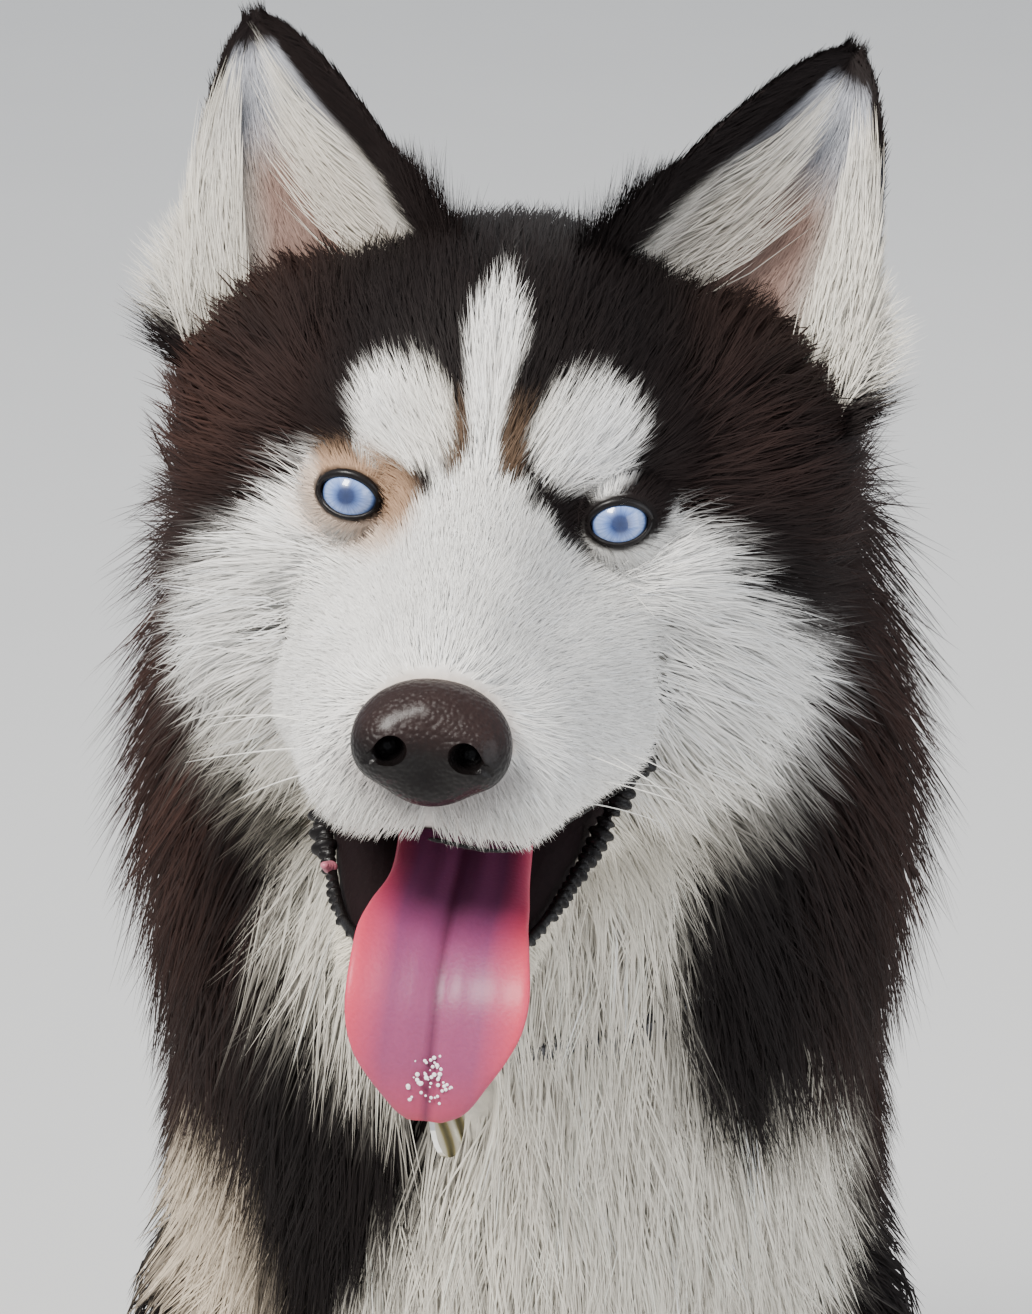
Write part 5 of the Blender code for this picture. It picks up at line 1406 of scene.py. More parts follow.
def rolled(aside, above, roll):
    """Sides of hairs turned round their own lines."""
    return aside * np.cos(roll) + above * np.sin(roll), above * np.cos(roll) - aside * np.sin(roll)


def twice(*parts):
    """The same for both stations of straight hairs."""
    return [part[:, None].repeat(2, axis=1) for part in parts]


def along_skin(way, normal):
    return unit(way - normal * (way * normal).sum(axis=1, keepdims=True))


def short_blades(ground, count, weight, length, width, seed):
    """Straight hairs that rise from the skin to the coat's surface, laid along the coat."""
    rng = np.random.default_rng(seed)
    at, normal, depth, unwrap = ground.roots(count, weight, rng)
    count = len(at)
    way = lie(at)
    way = along_skin(unit(way + rng.normal(0, STRAY, way.shape)), normal)
    size = length(depth) * rng.uniform(*SHORT_SIZES, count)
    size = size * (1 - EYE_TRIM * near_eye(at, EYE_TRIM_REACH))
    rise = np.clip(depth * rng.uniform(*SHORT_RISES, count) / size, FLATTEST, STEEPEST)
    rise = np.arcsin(rise)[:, None]
    tip = at + size[:, None] * (way * np.cos(rise) + normal * np.sin(rise))
    line = sunk(np.stack([at, tip], axis=1), normal, SHORT_ROOT)
    across, above = rolled(np.cross(normal, way), normal, rng.normal(0, SHORT_ROLL, count)[:, None])
    shown = at + normal * depth[:, None] * 0.8 + way * size[:, None] * 0.5
    colour = varied_colour(markings(shown), rng, 0.10)
    wide = width * rng.uniform(*WIDTHS, count) * (1 + WIDER_BY_DEPTH * depth)
    blades = Blades(line, *twice(across, above, normal), wide, unwrap, colour * 0.86, colour)
    return blades.kept(tips_clear(line))


def tuft_spines(ground, count, weight, length, rng):
    """Lines that rise from roots on the skin to near the coat's surface, and the roots' own facts."""
    at, first_normal, depth, unwrap = ground.roots(count, weight, rng)
    count = len(at)
    size = length(depth) * rng.uniform(*TUFT_SIZES, count)
    reach = rng.uniform(*TUFT_REACHES, count)
    turn = rng.normal(0, STRAY, count)
    curl = rng.normal(0, TUFT_CURL, count)
    step = (size / (STATIONS - 1))[:, None]
    rises = np.linspace(0, 1, STATIONS) ** 0.75
    place, normal = at, first_normal
    spine, asides, aboves = [], [], []
    for s in range(STATIONS):
        way = along_skin(lie(place), normal)
        way = unit(way + np.cross(normal, way) * (turn + curl * s / STATIONS)[:, None])
        spine.append(place)
        asides.append(np.cross(normal, way))
        aboves.append(normal)
        if s < STATIONS - 1:
            level = rises[s + 1] * reach
            place = settled(place + way * step * LEAN, WHOLE, level, 2)
            normal = unit(slope(place, WHOLE, level)[1])
    stacked = (np.stack(part, axis=1) for part in (spine, asides, aboves))
    return (*stacked, first_normal, depth, unwrap)


def tufts(ground, count, weight, length, width, seed, hairs, spread):
    """Tufts of hairs that rise from the skin to the coat's surface and gather to their tips."""
    rng = np.random.default_rng(seed)
    spine, asides, aboves, normal, depth, unwrap = tuft_spines(ground, count, weight, length, rng)
    count = len(spine)
    colour = varied_colour(markings(spine[:, -2] * 0.6 + spine[:, -1] * 0.4), rng, 0.13)
    under = markings(spine[:, 1]) * 0.55 + colour * 0.35
    made = []
    root_spread = np.sqrt(1.0 / max(count, 1)) * spread
    forward = np.cross(asides, aboves)
    for _ in range(hairs):
        angle = rng.uniform(0, 2 * math.pi, count)
        away = root_spread * np.sqrt(rng.uniform(0, 1, count))
        across = (away * np.cos(angle))[:, None, None]
        ahead = (away * np.sin(angle))[:, None, None]
        gather = np.linspace(1.0, rng.uniform(*TUFT_GATHERS), STATIONS)[None, :, None]
        line = spine + asides * across * gather - forward * ahead * gather
        trim = rng.uniform(*TUFT_TRIMS, count)[:, None]
        line[:, -1] = line[:, -2] + (line[:, -1] - line[:, -2]) * trim
        lower = rng.uniform(*TUFT_SAGS, count)[:, None] * depth[:, None]
        for s in range(1, STATIONS):
            line[:, s] -= aboves[:, s] * lower * (s / (STATIONS - 1))
        line = sunk(line, normal, TUFT_ROOT)
        side, top = rolled(asides, aboves, rng.normal(0, TUFT_ROLL, count)[:, None, None])
        wide = width * (0.6 + depth / 0.04).clip(0.6, 1.6) * rng.uniform(*WIDTHS, count)
        tone = varied_colour(colour, rng, 0.09)
        hair = Blades(line, side, top, aboves, wide, unwrap, under, tone)
        made.append(hair.kept(tips_clear(line)))
    return made


def ear_unwrap(u, t, back):
    """An unwrap of the ear's sheet: its front on the left half, its back on the right."""
    return np.stack(
        [0.02 + 0.23 * (u.clip(-1, 1) + 1) + 0.5 * back, 0.05 + 0.85 * t.clip(0, 1)], axis=1
    )


def ear_hair(side, place, count, stations, width, length, lift, seed, tone=None):
    """Hairs on the ear's sheet: place gives (u, t, back) and the way across the sheet."""
    rng = np.random.default_rng(seed)
    count = many(count)
    u, t, back, way_u = place(side, rng, count)
    sign = np.where(back, -1.0, 1.0)
    size = length * rng.uniform(*EAR_SIZES, count) * (1 - 0.35 * t.clip(0, 1))
    size *= 1 - 0.75 * smooth_step(0.62, 0.98, t)
    rise = lift * rng.uniform(*EAR_LIFTS, count)
    height = (EAR_TIPS[side] - Vector((side * EAR_BASE.x, EAR_BASE.y, EAR_BASE.z))).length
    line = []
    for share in np.linspace(0, 1, stations):
        along_t = np.minimum(t + size * share / height, np.maximum(t, 1.0))
        along_u = u + way_u * size * share / EAR_HALF_WIDTH
        out = sign * (EAR_THICKNESS * 0.2 + rise * math.sin(share * math.pi * 0.55))
        line.append(ear_point(side, along_u, along_t, out))
    line = np.stack(line, axis=1)
    along = unit(np.gradient(line, axis=1))
    front = unit(ear_point(side, u, t, 0.001 * sign) - ear_point(side, u, t, 0.0))
    ground = front[:, None].repeat(stations, axis=1)
    aside = unit(np.cross(ground, along))
    shown_u, shown_t = u + way_u * size * 0.6 / EAR_HALF_WIDTH, t + size * 0.6 / height
    colour = ear_colour(side, shown_u, shown_t, back)
    if tone is not None:
        colour = mix(colour, tone, np.full(count, 0.75))
    colour = varied_colour(colour, rng, 0.12)
    wide = width * rng.uniform(*WIDTHS, count)
    unwrap = ear_unwrap(u, t, back)
    return Blades(line, aside, np.cross(along, aside), ground, wide, unwrap, colour * 0.75, colour)


def ear_edge_hair(side, count, width, seed):
    """Soft hairs that stand off the ear's rim: short at the tip, long where the ear meets the head."""
    rng = np.random.default_rng(seed)
    count = many(count)
    edge = np.where(rng.uniform(0, 1, count) < 0.5, -1.0, 1.0)
    at_tip = rng.uniform(0, 1, count) < TIP_SHARE
    t = np.where(at_tip, rng.uniform(0.90, 1.0, count), rng.uniform(-0.18, 1.0, count))
    u = edge * np.where(at_tip, rng.uniform(0.0, 1.0, count), rng.uniform(0.88, 1.0, count))
    out = rng.uniform(-0.5, 0.5, count) * EAR_THICKNESS * (1 - 0.6 * t.clip(0, 1))
    # The inner base carries a dark tuft, the outer base a pale fan
    tuft = rng.uniform(0, 1, count) < TUFT_SHARE
    edge = np.where(tuft, -side, edge)
    t = np.where(tuft, rng.uniform(-0.15, 0.38, count), t)
    u = np.where(tuft, edge * rng.uniform(0.80, 1.0, count), u)
    root = ear_point(side, u, t, out)
    outward = unit(ear_point(side, edge, t) - ear_point(side, edge * 0.9, t))
    up = unit(ear_point(side, u, t + 0.03) - ear_point(side, u, t))
    base = smooth_step(0.46, 0.02, t)
    size = EDGE_HAIR_SHORT + (EDGE_HAIR_LONG - EDGE_HAIR_SHORT) * base
    size = size * rng.uniform(*EDGE_SIZES, count) * np.where(tuft, 1.25, 1.0)
    stand = 0.30 + 0.75 * base * (inner_edge(side, edge) < 0) + 0.35 * tuft
    stand = (stand * rng.uniform(*EDGE_STANDS, count))[:, None]
    way = unit(up + outward * stand + rng.normal(0, 0.13, root.shape))
    line = np.stack([root - way * EDGE_ROOT, root + way * size[:, None]], axis=1)
    front = unit(ear_point(side, u, t, 0.001) - ear_point(side, u, t, 0.0))
    aside = unit(np.cross(front, way))
    colour = varied_colour(ear_colour(side, edge, t, np.zeros(count)), rng, 0.15)
    wide = width * rng.uniform(*WIDTHS, count)
    sides = twice(aside, np.cross(way, aside), front)
    return Blades(line, *sides, wide, ear_unwrap(u, t, 0.0), colour * 0.8, colour)


def behind_ear(_, rng, count):
    u, t = rng.uniform(-1, 1, count), rng.uniform(-0.1, 0.98, count)
    return u, t, np.ones(count, dtype=bool), rng.normal(0, 0.15, count) - 0.25 * u


def inside_ear(side, rng, count):
    u, t = rng.uniform(-1, 1, count), rng.uniform(0.05, 0.98, count)
    out = np.full(count, 0.25 * side) + rng.normal(0, 0.15, count) - 0.2 * u
    return u, t, np.zeros(count, dtype=bool), out


def inner_fringe(side, rng, count):
    u, t = -side * rng.uniform(0.30, 0.62, count), rng.uniform(-0.05, 0.50, count)
    return u, t, np.zeros(count, dtype=bool), side * rng.uniform(0.2, 0.9, count)


def outer_fringe(side, rng, count):
    u, t = side * rng.uniform(0.62, 0.98, count), rng.uniform(-0.12, 0.62, count)
    return u, t, np.zeros(count, dtype=bool), side * rng.uniform(-0.10, 0.40, count)


# The ear's layers: where, how many hairs, stations, width, length, lift, seed and tone
FRINGE_TONE = CREAM * 0.6 + WHITE * 0.35
EAR_LAYERS = [
    (behind_ear, 3600, 2, 0.0008, 0.013, 0.0022, SEED + 30, None),
    (inside_ear, 6500, 2, 0.00042, 0.012, 0.0020, SEED + 32, None),
    (inner_fringe, 480, 3, 0.00042, 0.036, 0.0075, SEED + 36, FRINGE_TONE),
    (outer_fringe, 1100, 3, 0.00042, 0.024, 0.0060, SEED + 38, FRINGE_TONE),
]
EDGE_HAIRS, EDGE_WIDTH = 6500, 0.00050
EDGE_HAIR_SHORT, EDGE_HAIR_LONG = 0.0050, 0.0200


def coat_of_ear(side, material):
    word = dict(SIDES)[side]
    made = [
        ear_hair(side, *layer, seed + side, tone) for *layer, seed, tone in EAR_LAYERS
    ]
    made.append(ear_edge_hair(side, EDGE_HAIRS, EDGE_WIDTH, SEED + 34 + side))
    return finished(coat_mesh(f"coat_ear_{word}", made), "coat_ear", material)


def face_length(depth):
    return 0.0046 + 1.25 * depth


def leg_length(depth):
    return 0.0055 + 2.0 * depth


def head_length(depth):
    return 0.009 + 1.5 * depth


def long_length(depth):
    return np.minimum(0.010 + 2.0 * depth, 0.100)


# The coat's layers, from the short face to the long ruff: the piece, its slot, the number of hairs
# or tufts, the hairs' length by the coat's depth, their width, hairs in a tuft and its spread
LAYERS = [
    ("coat_face", "coat_head", 66000, face_length, 0.00046, 1, 0.0),
    ("coat_head", "coat_head", 11500, head_length, 0.00056, 3, 0.30),
    ("coat_ruff", "coat_ruff", 10800, long_length, 0.00060, 4, 0.60),
    ("coat_body", "coat_body", 3900, long_length, 0.0015, 4, 0.90),
    ("coat_legs", "coat_foreleg", 26000, leg_length, 0.0010, 1, 0.0),
    ("coat_tail", "coat_tail", 1500, long_length, 0.0016, 3, 0.35),
]
PIECE_LIMIT = 190000


def blade_triangles(blades):
    """The triangles of one hair: a closed root, six to each ring past the first, and the point."""
    return 1 + 6 * (blades.line.shape[1] - 2) + 3


def split_pieces(name, hairs, slot, material):
    """Pieces of coat, each under the limit of triangles."""
    pieces, batch, total = [], [], 0
    for blades in hairs:
        each = blade_triangles(blades)
        start = 0
        while start < len(blades.line):
            room_left = int((PIECE_LIMIT - total) / each)
            if room_left < 1:
                pieces.append(batch)
                batch, total = [], 0
                continue
            stop = min(len(blades.line), start + room_left)
            batch.append(blades.kept(slice(start, stop)))
            total += (stop - start) * each
            start = stop
    if batch:
        pieces.append(batch)
    for i, part in enumerate(pieces):
        finished(coat_mesh(f"{name}_{i + 1}", part), slot, material)


def coat_weights(ground):
    """How thickly each layer grows at each point of the skin."""
    points, depth = ground.points, ground.depth
    _, y, z = into(HEAD, points).T
    of_head = smooth_step(-0.030, 0.010, beyond(points, HEAD_CUT))
    short = smooth_step(0.0130, 0.0085, depth)
    in_sight = 0.25 + smooth_step(0.11, 0.02, y)
    near_eyes = 1 + 1.4 * smooth_step(0.05, 0.0, np.abs(z)) * smooth_step(0.05, 0.0, y)
    neck = (1 - of_head) * smooth_step(-0.10, -0.02, beyond(points, NECK_CUT)) * (depth > 0.008)
    front = smooth_step(0.20, 0.02, points[:, 1])
    tail = on_tail(points)
    low = smooth_step(0.30, 0.24, points[:, 2]) * (depth < 0.014)
    return {
        "coat_face": of_head * short * in_sight * near_eyes,
        "coat_head": of_head * (1 - short) * in_sight,
        "coat_ruff": neck * (0.35 + front),
        "coat_body": (1 - of_head) * (1 - neck) * (1 - tail) * (1 - low) * (0.6 + 0.8 * front),
        "coat_legs": (1 - of_head) * low * (1 - tail),
        "coat_tail": tail,
    }


def make_coat(skin, material):
    ground = Ground(skin)
    weights = coat_weights(ground)
    for place, (name, slot, count, length, width, hairs, spread) in enumerate(LAYERS):
        basis = (ground, many(count), weights[name], length, width, SEED + 1 + place)
        made = [short_blades(*basis)] if hairs == 1 else tufts(*basis, hairs, spread)
        split_pieces(name, made, slot, material)


# Whiskers and claws
WHISKER_ROWS = [
    ((0.0270, -0.0560, -0.0560), 0.034), ((0.0300, -0.0480, -0.0520), 0.040),
    ((0.0310, -0.0400, -0.0580), 0.036), ((0.0250, -0.0640, -0.0500), 0.026),
    ((0.0290, -0.0520, -0.0610), 0.030), ((0.0330, -0.0330, -0.0540), 0.034),
]

WHISKER_RADIUS = 0.00024


def make_whiskers(material):
    rng = np.random.default_rng(SEED + 8)
    pieces = []
    for side in (1, -1):
        for (x, y, z), length in WHISKER_ROWS:
            root = np.array(HEAD @ Vector((side * x, y, z)))
            root = Vector(settled(root[None], HEAD_PARTS, SKIN, 4)[0])
            aside, back, rise = rng.uniform(0.7, 1.0), rng.uniform(0.0, 0.5), rng.uniform(-0.35, 0.1)
            way = (HEAD.to_3x3() @ Vector((side * aside, back, rise))).normalized()
            fall = Vector((0, 0.15, -0.5)) * rng.uniform(0.3, 1.0)
            size = length * rng.uniform(0.5, 0.9)
            steps = np.linspace(-0.05, 1, 9)
            line = [root + way * (size * step) + fall * (size * step * step * 0.5) for step in steps]
            radii = WHISKER_RADIUS * (1 - 0.85 * np.linspace(0, 1, 9))
            pieces.append(tube_mesh("whisker", line, radii, 6))
    return finished(joined("whiskers", pieces), "coat_head", material)


CLAW_LENGTH = 0.0105
CLAW_RADIUS = 0.0022


def make_claws(material):
    pieces = []
    for side in (1, -1):
        for paw in PAWS:
            for place in toe_places(paw):
                start = Vector((side * place.x, place.y - TOE_RADII[1] * 0.80, place.z + 0.001))
                line, radii = [], []
                for s in np.linspace(0, 1, 8):
                    line.append(start + Vector((0, -CLAW_LENGTH * s, -0.0075 * s * s)))
                    radii.append(CLAW_RADIUS * (1 - s) ** 0.6 + 0.0002)
                pieces.append(tube_mesh("claw", line, radii, 12))
    return finished(joined("claws", pieces), "coat_foreleg", material)


# Where the tag hangs and where the lower lip runs, which the hair keeps clear of
TAG_SPACE = Matrix.Translation(middle(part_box("tag")) - SHIFT)
TAG_CLEAR = np.array((0.014, 0.045, 0.024))
LIP_BEADS = evenly(lip_line(LOWER_LIP), 0.003)


# Materials
SHADER_SOCKETS = {
    "rough": "Roughness",
    "shine": "Specular IOR Level",
    "metal": "Metallic",
    "wet": "Coat Weight",
    "wet_rough": "Coat Roughness",
    "deep": "Subsurface Weight",
    "deep_reach": "Subsurface Scale",
}


def new_material(name, **numbers):
    """A material with its tree and its shader, whose numbers go by the short names above."""
    material = bpy.data.materials.new(name)
    material.use_nodes = True
    tree = material.node_tree
    shader = tree.nodes["Principled BSDF"]
    for number, value in numbers.items():
        shader.inputs[SHADER_SOCKETS[number]].default_value = value
    return material, tree, shader


def feed(tree, socket, value):
    """Puts a number, a colour or another node's output on a socket."""
    if isinstance(value, bpy.types.NodeSocket):
        tree.links.new(value, socket)
    elif isinstance(value, (tuple, np.ndarray)):
        socket.default_value = (*value, 1.0)
    else:
        socket.default_value = value


def add(tree, kind, sockets, **settings):
    """A node with its settings, and what goes into its sockets."""
    node = tree.nodes.new(kind)
    for name, value in settings.items():
        setattr(node, name, value)
    for name, value in sockets.items():
        feed(tree, node.inputs[name], value)
    return node


def object_place(tree):
    return tree.nodes.new("ShaderNodeTexCoord").outputs["Object"]


def painted(tree, name, output="Fac"):
    """What paint or mark left on the mesh under a name."""
    return add(tree, "ShaderNodeAttribute", {}, attribute_name=name).outputs[output]


def reckoned(tree, operation, *values):
    return add(tree, "ShaderNodeMath", dict(enumerate(values)), operation=operation).outputs[0]


def blend(tree, share, first, second, kind="MIX"):
    sockets = {"Factor": share, "A": first, "B": second}
    return add(tree, "ShaderNodeMix", sockets, data_type="RGBA", blend_type=kind).outputs["Result"]


def ramp(tree, share, stops):
    """The colour that the stops give for a share."""
    node = add(tree, "ShaderNodeValToRGB", {0: share})
    marks = node.color_ramp.elements
    while len(marks) < len(stops):
        marks.new(0.5)
    for element, (position, colour) in zip(marks, stops):
        element.position = position
        element.color = (*colour, 1.0)
    return node.outputs["Color"]


def bumped(tree, shader, height, strength, distance, invert=False):
    sockets = {"Height": height, "Strength": strength, "Distance": distance}
    node = add(tree, "ShaderNodeBump", sockets, invert=invert)
    tree.links.new(node.outputs["Normal"], shader.inputs["Normal"])


def mottle_group():
    """Colour that wanders lighter and darker, and a height for a bump, at one grain size."""
    group = bpy.data.node_groups.new("mottle", "ShaderNodeTree")
    colour, number = "NodeSocketColor", "NodeSocketFloat"
    for name, kind in (("Colour", colour), ("Grain", number), ("Spread", number)):
        group.interface.new_socket(name, in_out="INPUT", socket_type=kind)
    for name, kind in (("Colour", colour), ("Height", number)):
        group.interface.new_socket(name, in_out="OUTPUT", socket_type=kind)
    start = group.nodes.new("NodeGroupInput").outputs
    sockets = {"Vector": object_place(group), "Scale": start["Grain"], "Detail": 4.0}
    noise = add(group, "ShaderNodeTexNoise", sockets).outputs["Fac"]
    wander = reckoned(group, "SUBTRACT", noise, 0.5)
    amount = reckoned(group, "MULTIPLY_ADD", wander, start["Spread"], 1.0)
    sockets = {0: start["Colour"], "Scale": amount}
    scaled = add(group, "ShaderNodeVectorMath", sockets, operation="SCALE").outputs[0]
    add(group, "NodeGroupOutput", {"Colour": scaled, "Height": noise})
    return group


MOTTLE = mottle_group()


def mottled(tree, shader, colour, grain, spread, bump=0.0, distance=0.0):
    """The group's colour on the shader, and its height as a bump if there is one."""
    sockets = {"Colour": colour, "Grain": grain, "Spread": spread}
    node = add(tree, "ShaderNodeGroup", sockets, node_tree=MOTTLE)
    tree.links.new(node.outputs["Colour"], shader.inputs["Base Color"])
    if bump:
        bumped(tree, shader, node.outputs["Height"], bump, distance)


def coat_material():
    material, tree, shader = new_material("coat_hair", rough=0.66, shine=0.12)
    mottled(tree, shader, painted(tree, "Coat", "Color"), 60.0, 0.35)
    return material


def skin_material():
    material, tree, shader = new_material("coat_under", rough=0.80, shine=0.10)
    mottled(tree, shader, painted(tree, "Coat", "Color"), 420.0, 0.45, 0.6, 0.0006)
    return material


def nose_material():
    """Dark brown leather with pebbles all over, and painted shade: darker below, where less light falls,
    and in the nostrils.
    """
    numbers = {"rough": 0.46, "shine": 0.14, "wet": 0.14, "wet_rough": 0.20}
    material, tree, shader = new_material("nose_pebbled", **numbers)
    # Painted shade: the leather darkens from its lit top to its underside, and in the nostrils
    stops = [(0.0, (0.0165, 0.0085, 0.0075)), (1.0, (0.0030, 0.0020, 0.0019))]
    leather = ramp(tree, painted(tree, "UnderShade"), stops)
    dark = blend(tree, painted(tree, "NostrilShade"), leather, (0.004, 0.003, 0.003))
    mottled(tree, shader, dark, 300.0, 0.5)
    sockets = {"Vector": object_place(tree), "Scale": 780.0, "Smoothness": 0.6}
    pebbles = add(tree, "ShaderNodeTexVoronoi", sockets, feature="SMOOTH_F1")
    bumped(tree, shader, pebbles.outputs["Distance"], 0.75, 0.0006, invert=True)
    return material


def wet_material(name, colour, spread, roughness, bump):
    numbers = {"rough": roughness, "shine": 0.18, "wet": 0.10, "wet_rough": 0.22}
    material, tree, shader = new_material(name, **numbers)
    mottled(tree, shader, colour, 500.0, spread, bump, 0.0004)
    return material


def tongue_material():
    """Mauve down the middle and pink at the edges and the tip, with painted shade: a dark line in the
    groove, and darker towards the root inside the mouth.
    """
    numbers = {"rough": 0.48, "shine": 0.25, "wet": 0.10, "wet_rough": 0.28}
    material, tree, shader = new_material("tongue_wet", deep=0.12, deep_reach=0.004, **numbers)
    # Along the tongue: painted shade darkens the root inside the mouth, and the tip is pinker
    stops = [
        (0.0, (0.10, 0.020, 0.045)),
        (0.40, (0.185, 0.044, 0.112)),
        (0.74, (0.250, 0.052, 0.118)),
        (0.95, (0.37, 0.042, 0.085)),
        (1.0, (0.42, 0.038, 0.070)),
    ]
    length = ramp(tree, painted(tree, "Down"), stops)
    away = reckoned(tree, "ABSOLUTE", painted(tree, "Across"))
    edge = ramp(tree, away, [(0.50, (0.0, 0.0, 0.0)), (0.92, (0.90, 0.90, 0.90))])
    pink = blend(tree, edge, length, (0.56, 0.045, 0.085))
    # Painted shade: a dark line in the groove
    line = ramp(tree, away, [(0.0, (0.75, 0.75, 0.75)), (0.09, (0.0, 0.0, 0.0))])
    groove = blend(tree, line, pink, (0.085, 0.016, 0.042))
    mottled(tree, shader, groove, 900.0, 0.25, 0.35, 0.0004)
    return material


def eye_material():
    """A dark pupil, pale blue fibres, a dark ring and a dark rest, all from the axis out. The rest, the
    white of the eye, is painted dark for its dark rim and as painted shade under the lids.
    """
    numbers = {"rough": 0.28, "wet": 1.0, "wet_rough": 0.02}
    material, tree, shader = new_material("eye_iris", **numbers)
    share = PUPIL_RADIUS / IRIS_RADIUS / 2
    stops = [
        (0.0, (0.010, 0.020, 0.070)),
        (share - 0.060, (0.014, 0.030, 0.110)),
        (share + 0.045, (0.110, 0.190, 0.460)),
        (0.32, (0.200, 0.300, 0.600)),
        (0.42, (0.280, 0.390, 0.680)),
        (0.468, (0.120, 0.190, 0.420)),
        # The white of the eye painted dark: its dark rim, and painted shade under the lids
        (0.505, (0.006, 0.008, 0.016)),
        (0.560, (0.020, 0.014, 0.013)),
    ]
    out = painted(tree, "FromAxis")
    rings = ramp(tree, reckoned(tree, "MULTIPLY", out, 0.5), stops)
    sockets = {"X": painted(tree, "Round"), "Y": reckoned(tree, "MULTIPLY", out, 0.08)}
    spot = add(tree, "ShaderNodeCombineXYZ", sockets).outputs[0]
    sockets = {"Vector": spot, "Scale": 34.0, "Detail": 3.0}
    fibres = add(tree, "ShaderNodeTexNoise", sockets).outputs["Fac"]
    streak = ramp(tree, fibres, [(0.30, (0.62, 0.66, 0.72)), (0.70, (1.22, 1.18, 1.12))])
    both = blend(tree, 1.0, rings, streak, "MULTIPLY")
    tree.links.new(both, shader.inputs["Base Color"])
    return material


def ring_material():
    material, tree, shader = new_material("ring_steel", metal=1.0, rough=0.22)
    mottled(tree, shader, (0.66, 0.65, 0.62), 260.0, 0.25, 0.12, 0.0002)
    return material


def banded(tree, sockets, **settings):
    """Waves across the object, as shares from nothing to one."""
    sockets = {"Vector": object_place(tree), **sockets}
    return add(tree, "ShaderNodeTexWave", sockets, wave_type="BANDS", **settings).outputs["Fac"]


def tag_material():
    """Polished metal with painted reflections: the dark and bright streaks that a curved sheet mirrors.
    """
    material, tree, shader = new_material("tag_steel", metal=1.0, rough=0.12)
    # Painted reflections: dark and bright streaks in the base colour
    bands = banded(tree, {"Scale": 34.0, "Distortion": 5.0, "Detail": 1.0}, bands_direction="Y")
    stops = [
        (0.0, (0.10, 0.09, 0.04)),
        (0.40, (0.34, 0.30, 0.14)),
        (0.70, (0.80, 0.77, 0.66)),
        (1.0, (0.95, 0.94, 0.90)),
    ]
    tree.links.new(ramp(tree, bands, stops), shader.inputs["Base Color"])
    return material


def webbing_material():
    material, tree, shader = new_material("collar_woven", rough=0.7)
    weave = banded(tree, {"Scale": 260.0, "Distortion": 1.0})
    tone = ramp(tree, weave, [(0.0, (0.045, 0.045, 0.050)), (1.0, (0.170, 0.170, 0.180))])
    tree.links.new(tone, shader.inputs["Base Color"])
    bumped(tree, shader, weave, 0.6, 0.0005)
    return material


def floor_material():
    material, tree, shader = new_material("floor_pale", rough=0.7)
    mottled(tree, shader, (0.78, 0.77, 0.75), 6.0, 0.05, 0.05, 0.001)
    return material


SKIN_VOXEL = 0.0030


def make_skin():
    skin = flesh("skin", WHOLE, SKIN_VOXEL)
    for side, _ in SIDES:
        open_eye(skin, side)
    unwrap_skin(skin)
    points = places(skin)
    normals = np.empty(len(points) * 3)
    skin.data.vertices.foreach_get("normal", normals)
    normals = normals.reshape(-1, 3)
    depth = np.maximum(-field(points, WHOLE, TIPS), 0.0)
    colour = markings(points + normals * depth[:, None]) * 0.8
    # The mouth's lining: its own dark colour, and painted shade inside the mouth
    colour = mix(colour, MOUTH_DARK_AND_SHADE, mouth_inside(points, normals, LINING_MARGIN).astype(float))
    colour = mix(colour, LINER, near_eye(points, 0.0022))
    soles = smooth_step(0.006, 0.003, points[:, 2]) * (normals[:, 2] < -0.5)
    paint(skin, mix(colour, SOLE, soles))
    return skin


def unwrap_skin(skin):
    """An unwrap of the skin's own shape by the side it faces, packed so that no patches meet."""
    bpy.context.view_layer.objects.active = skin
    skin.select_set(True)
    skin.data.uv_layers.new(name="OFBake")
    bpy.ops.object.mode_set(mode="EDIT")
    bpy.ops.mesh.select_all(action="SELECT")
    bpy.ops.uv.smart_project(angle_limit=math.radians(66), island_margin=0.002)
    bpy.ops.object.mode_set(mode="OBJECT")
    skin.select_set(False)


PHOTO_SIZE = (1032, 1314)
EYES_IN_PHOTO = (487.0, 504.5)
EYE_SCALE = 3800.0
CAMERA_DISTANCE = 1.1
CAMERA_HEIGHT = math.radians(24.0)


def camera_at_photo_angle():
    """The camera looks down at the raised face, with the frame of the photograph."""
    eyes = (middle(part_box("eye_left")) + middle(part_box("eye_right"))) / 2
    back = Vector((0, -math.cos(CAMERA_HEIGHT), math.sin(CAMERA_HEIGHT)))
    right = Vector((1, 0, 0))
    up = back.cross(right)
    aside = (EYES_IN_PHOTO[0] - PHOTO_SIZE[0] / 2) / EYE_SCALE
    above = (PHOTO_SIZE[1] / 2 - EYES_IN_PHOTO[1]) / EYE_SCALE
    data = bpy.data.cameras.new("camera")
    camera = link("camera", data)
    camera.location = eyes + back * CAMERA_DISTANCE - right * aside - up * above
    camera.rotation_mode = "QUATERNION"
    camera.rotation_quaternion = (-back).to_track_quat("-Z", "Y")
    data.sensor_fit = "VERTICAL"
    data.angle_y = 2 * math.atan(PHOTO_SIZE[1] / 2 / (EYE_SCALE * CAMERA_DISTANCE))
    bpy.context.scene.camera = camera


# Name, place, target, size, watts and colour
LIGHTS = [
    ("key", (-0.8, -1.1, 2.1), (0, 0, 0.6), 0.6, 72, (1.0, 0.97, 0.92)),
    ("fill", (1.6, -1.4, 1.0), (0, 0, 0.5), 1.6, 24, (0.93, 0.96, 1.0)),
    ("back", (0.6, 1.8, 1.9), (0, 0.1, 0.5), 1.2, 12, (1.0, 0.98, 0.95)),
]


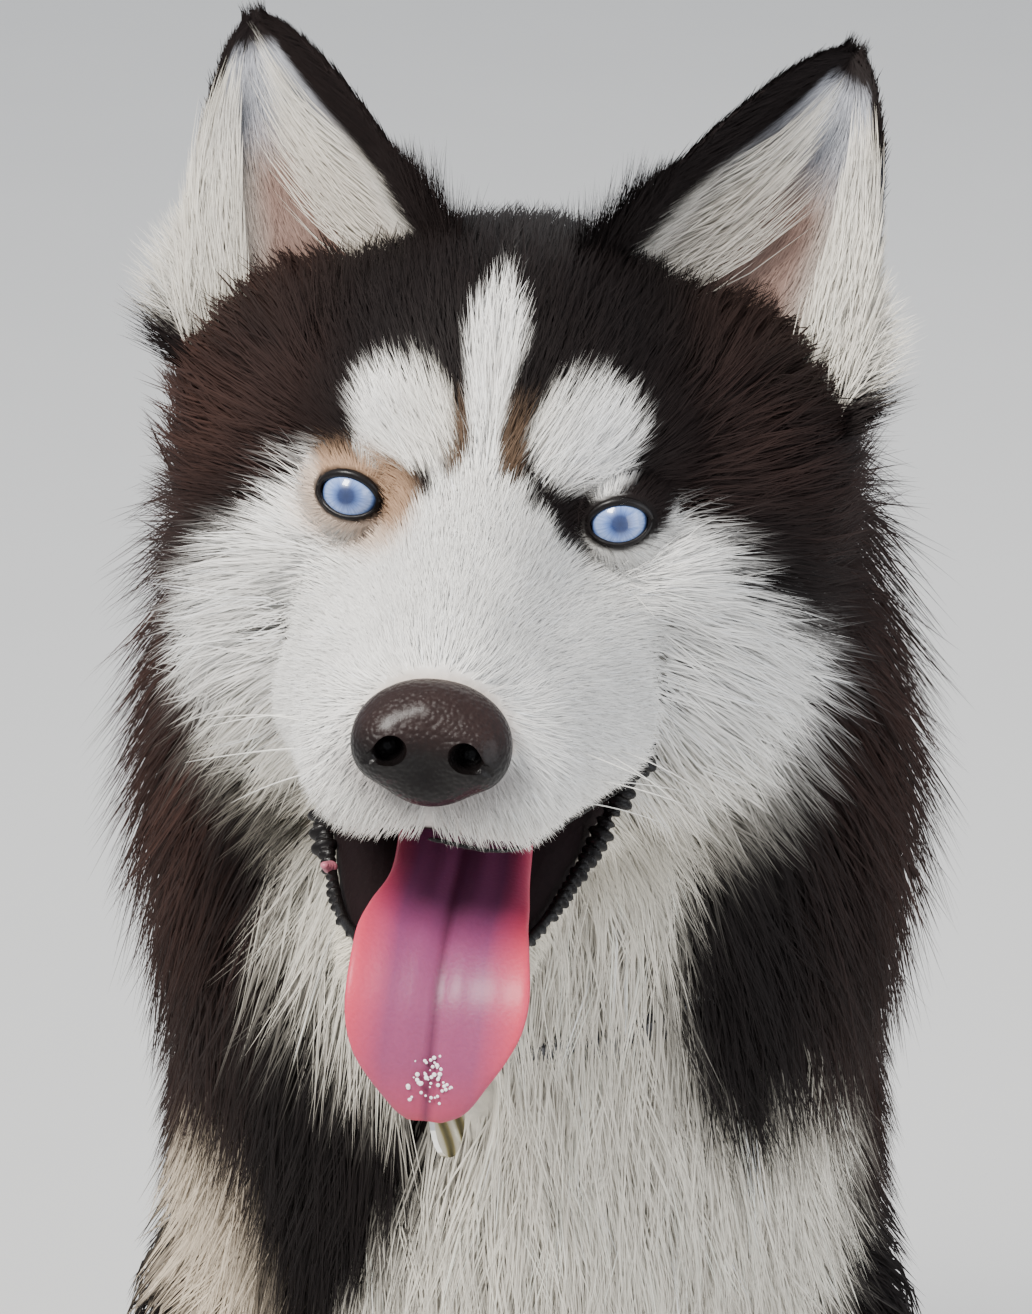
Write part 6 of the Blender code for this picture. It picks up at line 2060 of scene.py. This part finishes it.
def light_and_floor():
    for name, place, target, size, watts, colour in LIGHTS:
        data = bpy.data.lights.new(name, "AREA")
        data.size = size
        data.energy = watts
        data.color = colour
        light = link(name, data)
        light.location = place
        light.rotation_mode = "QUATERNION"
        light.rotation_quaternion = (Vector(target) - Vector(place)).to_track_quat("-Z", "Y")
    world = bpy.data.worlds.new("studio")
    world.use_nodes = True
    shine = world.node_tree.nodes["Background"]
    shine.inputs["Color"].default_value = (0.80, 0.84, 0.90, 1.0)
    shine.inputs["Strength"].default_value = 0.92
    bpy.context.scene.world = world
    bm = bmesh.new()
    bmesh.ops.create_grid(bm, x_segments=8, y_segments=8, size=6.0)
    floor = from_bmesh("floor", bm)
    floor.location.z = FLOOR - 0.0002
    floor.data.materials.append(floor_material())


def dress_collar():
    looks = {
        "collar": webbing_material(),
        "tag_ring": ring_material(),
        "tag": tag_material(),
    }
    for node, material in looks.items():
        for place in frame["nodes"][node].material_slots:
            place.material = material


def main():
    camera_at_photo_angle()
    light_and_floor()
    dress_collar()
    hair = coat_material()
    skin_look = skin_material()
    skin = make_skin()
    make_coat(skin, hair)
    finished(skin, "coat_body", skin_look, *FLESH_NODES)
    eye_look = eye_material()
    dark_wet = wet_material("lip_dark", LINER * 0.8, 0.5, 0.38, 0.4)
    pink_wet = wet_material("lip_pink", (0.42, 0.13, 0.17), 0.4, 0.30, 0.4)
    foam = wet_material("foam_white", (0.86, 0.80, 0.82), 0.1, 0.12, 0.0)
    claw_look = wet_material("claw_horn", (0.045, 0.036, 0.034), 0.5, 0.38, 0.3)
    whisker_look = wet_material("whisker_pale", (0.80, 0.78, 0.72), 0.2, 0.40, 0.0)
    for side, _ in SIDES:
        make_eye(side, eye_look)
        make_lids(side, dark_wet)
        make_ear(side, skin_look)
        coat_of_ear(side, hair)
    make_nose(nose_material())
    make_lips(dark_wet)
    make_papilla(pink_wet)
    make_tongue(tongue_material())
    make_spit(foam)
    make_whiskers(whisker_look)
    make_claws(claw_look)


FLESH_NODES = (
    "head", "neck", "torso", "foreleg_left", "foreleg_right", "hindleg_left", "hindleg_right",
    "tail_root", "tail_middle", "tail_tip",
)

main()
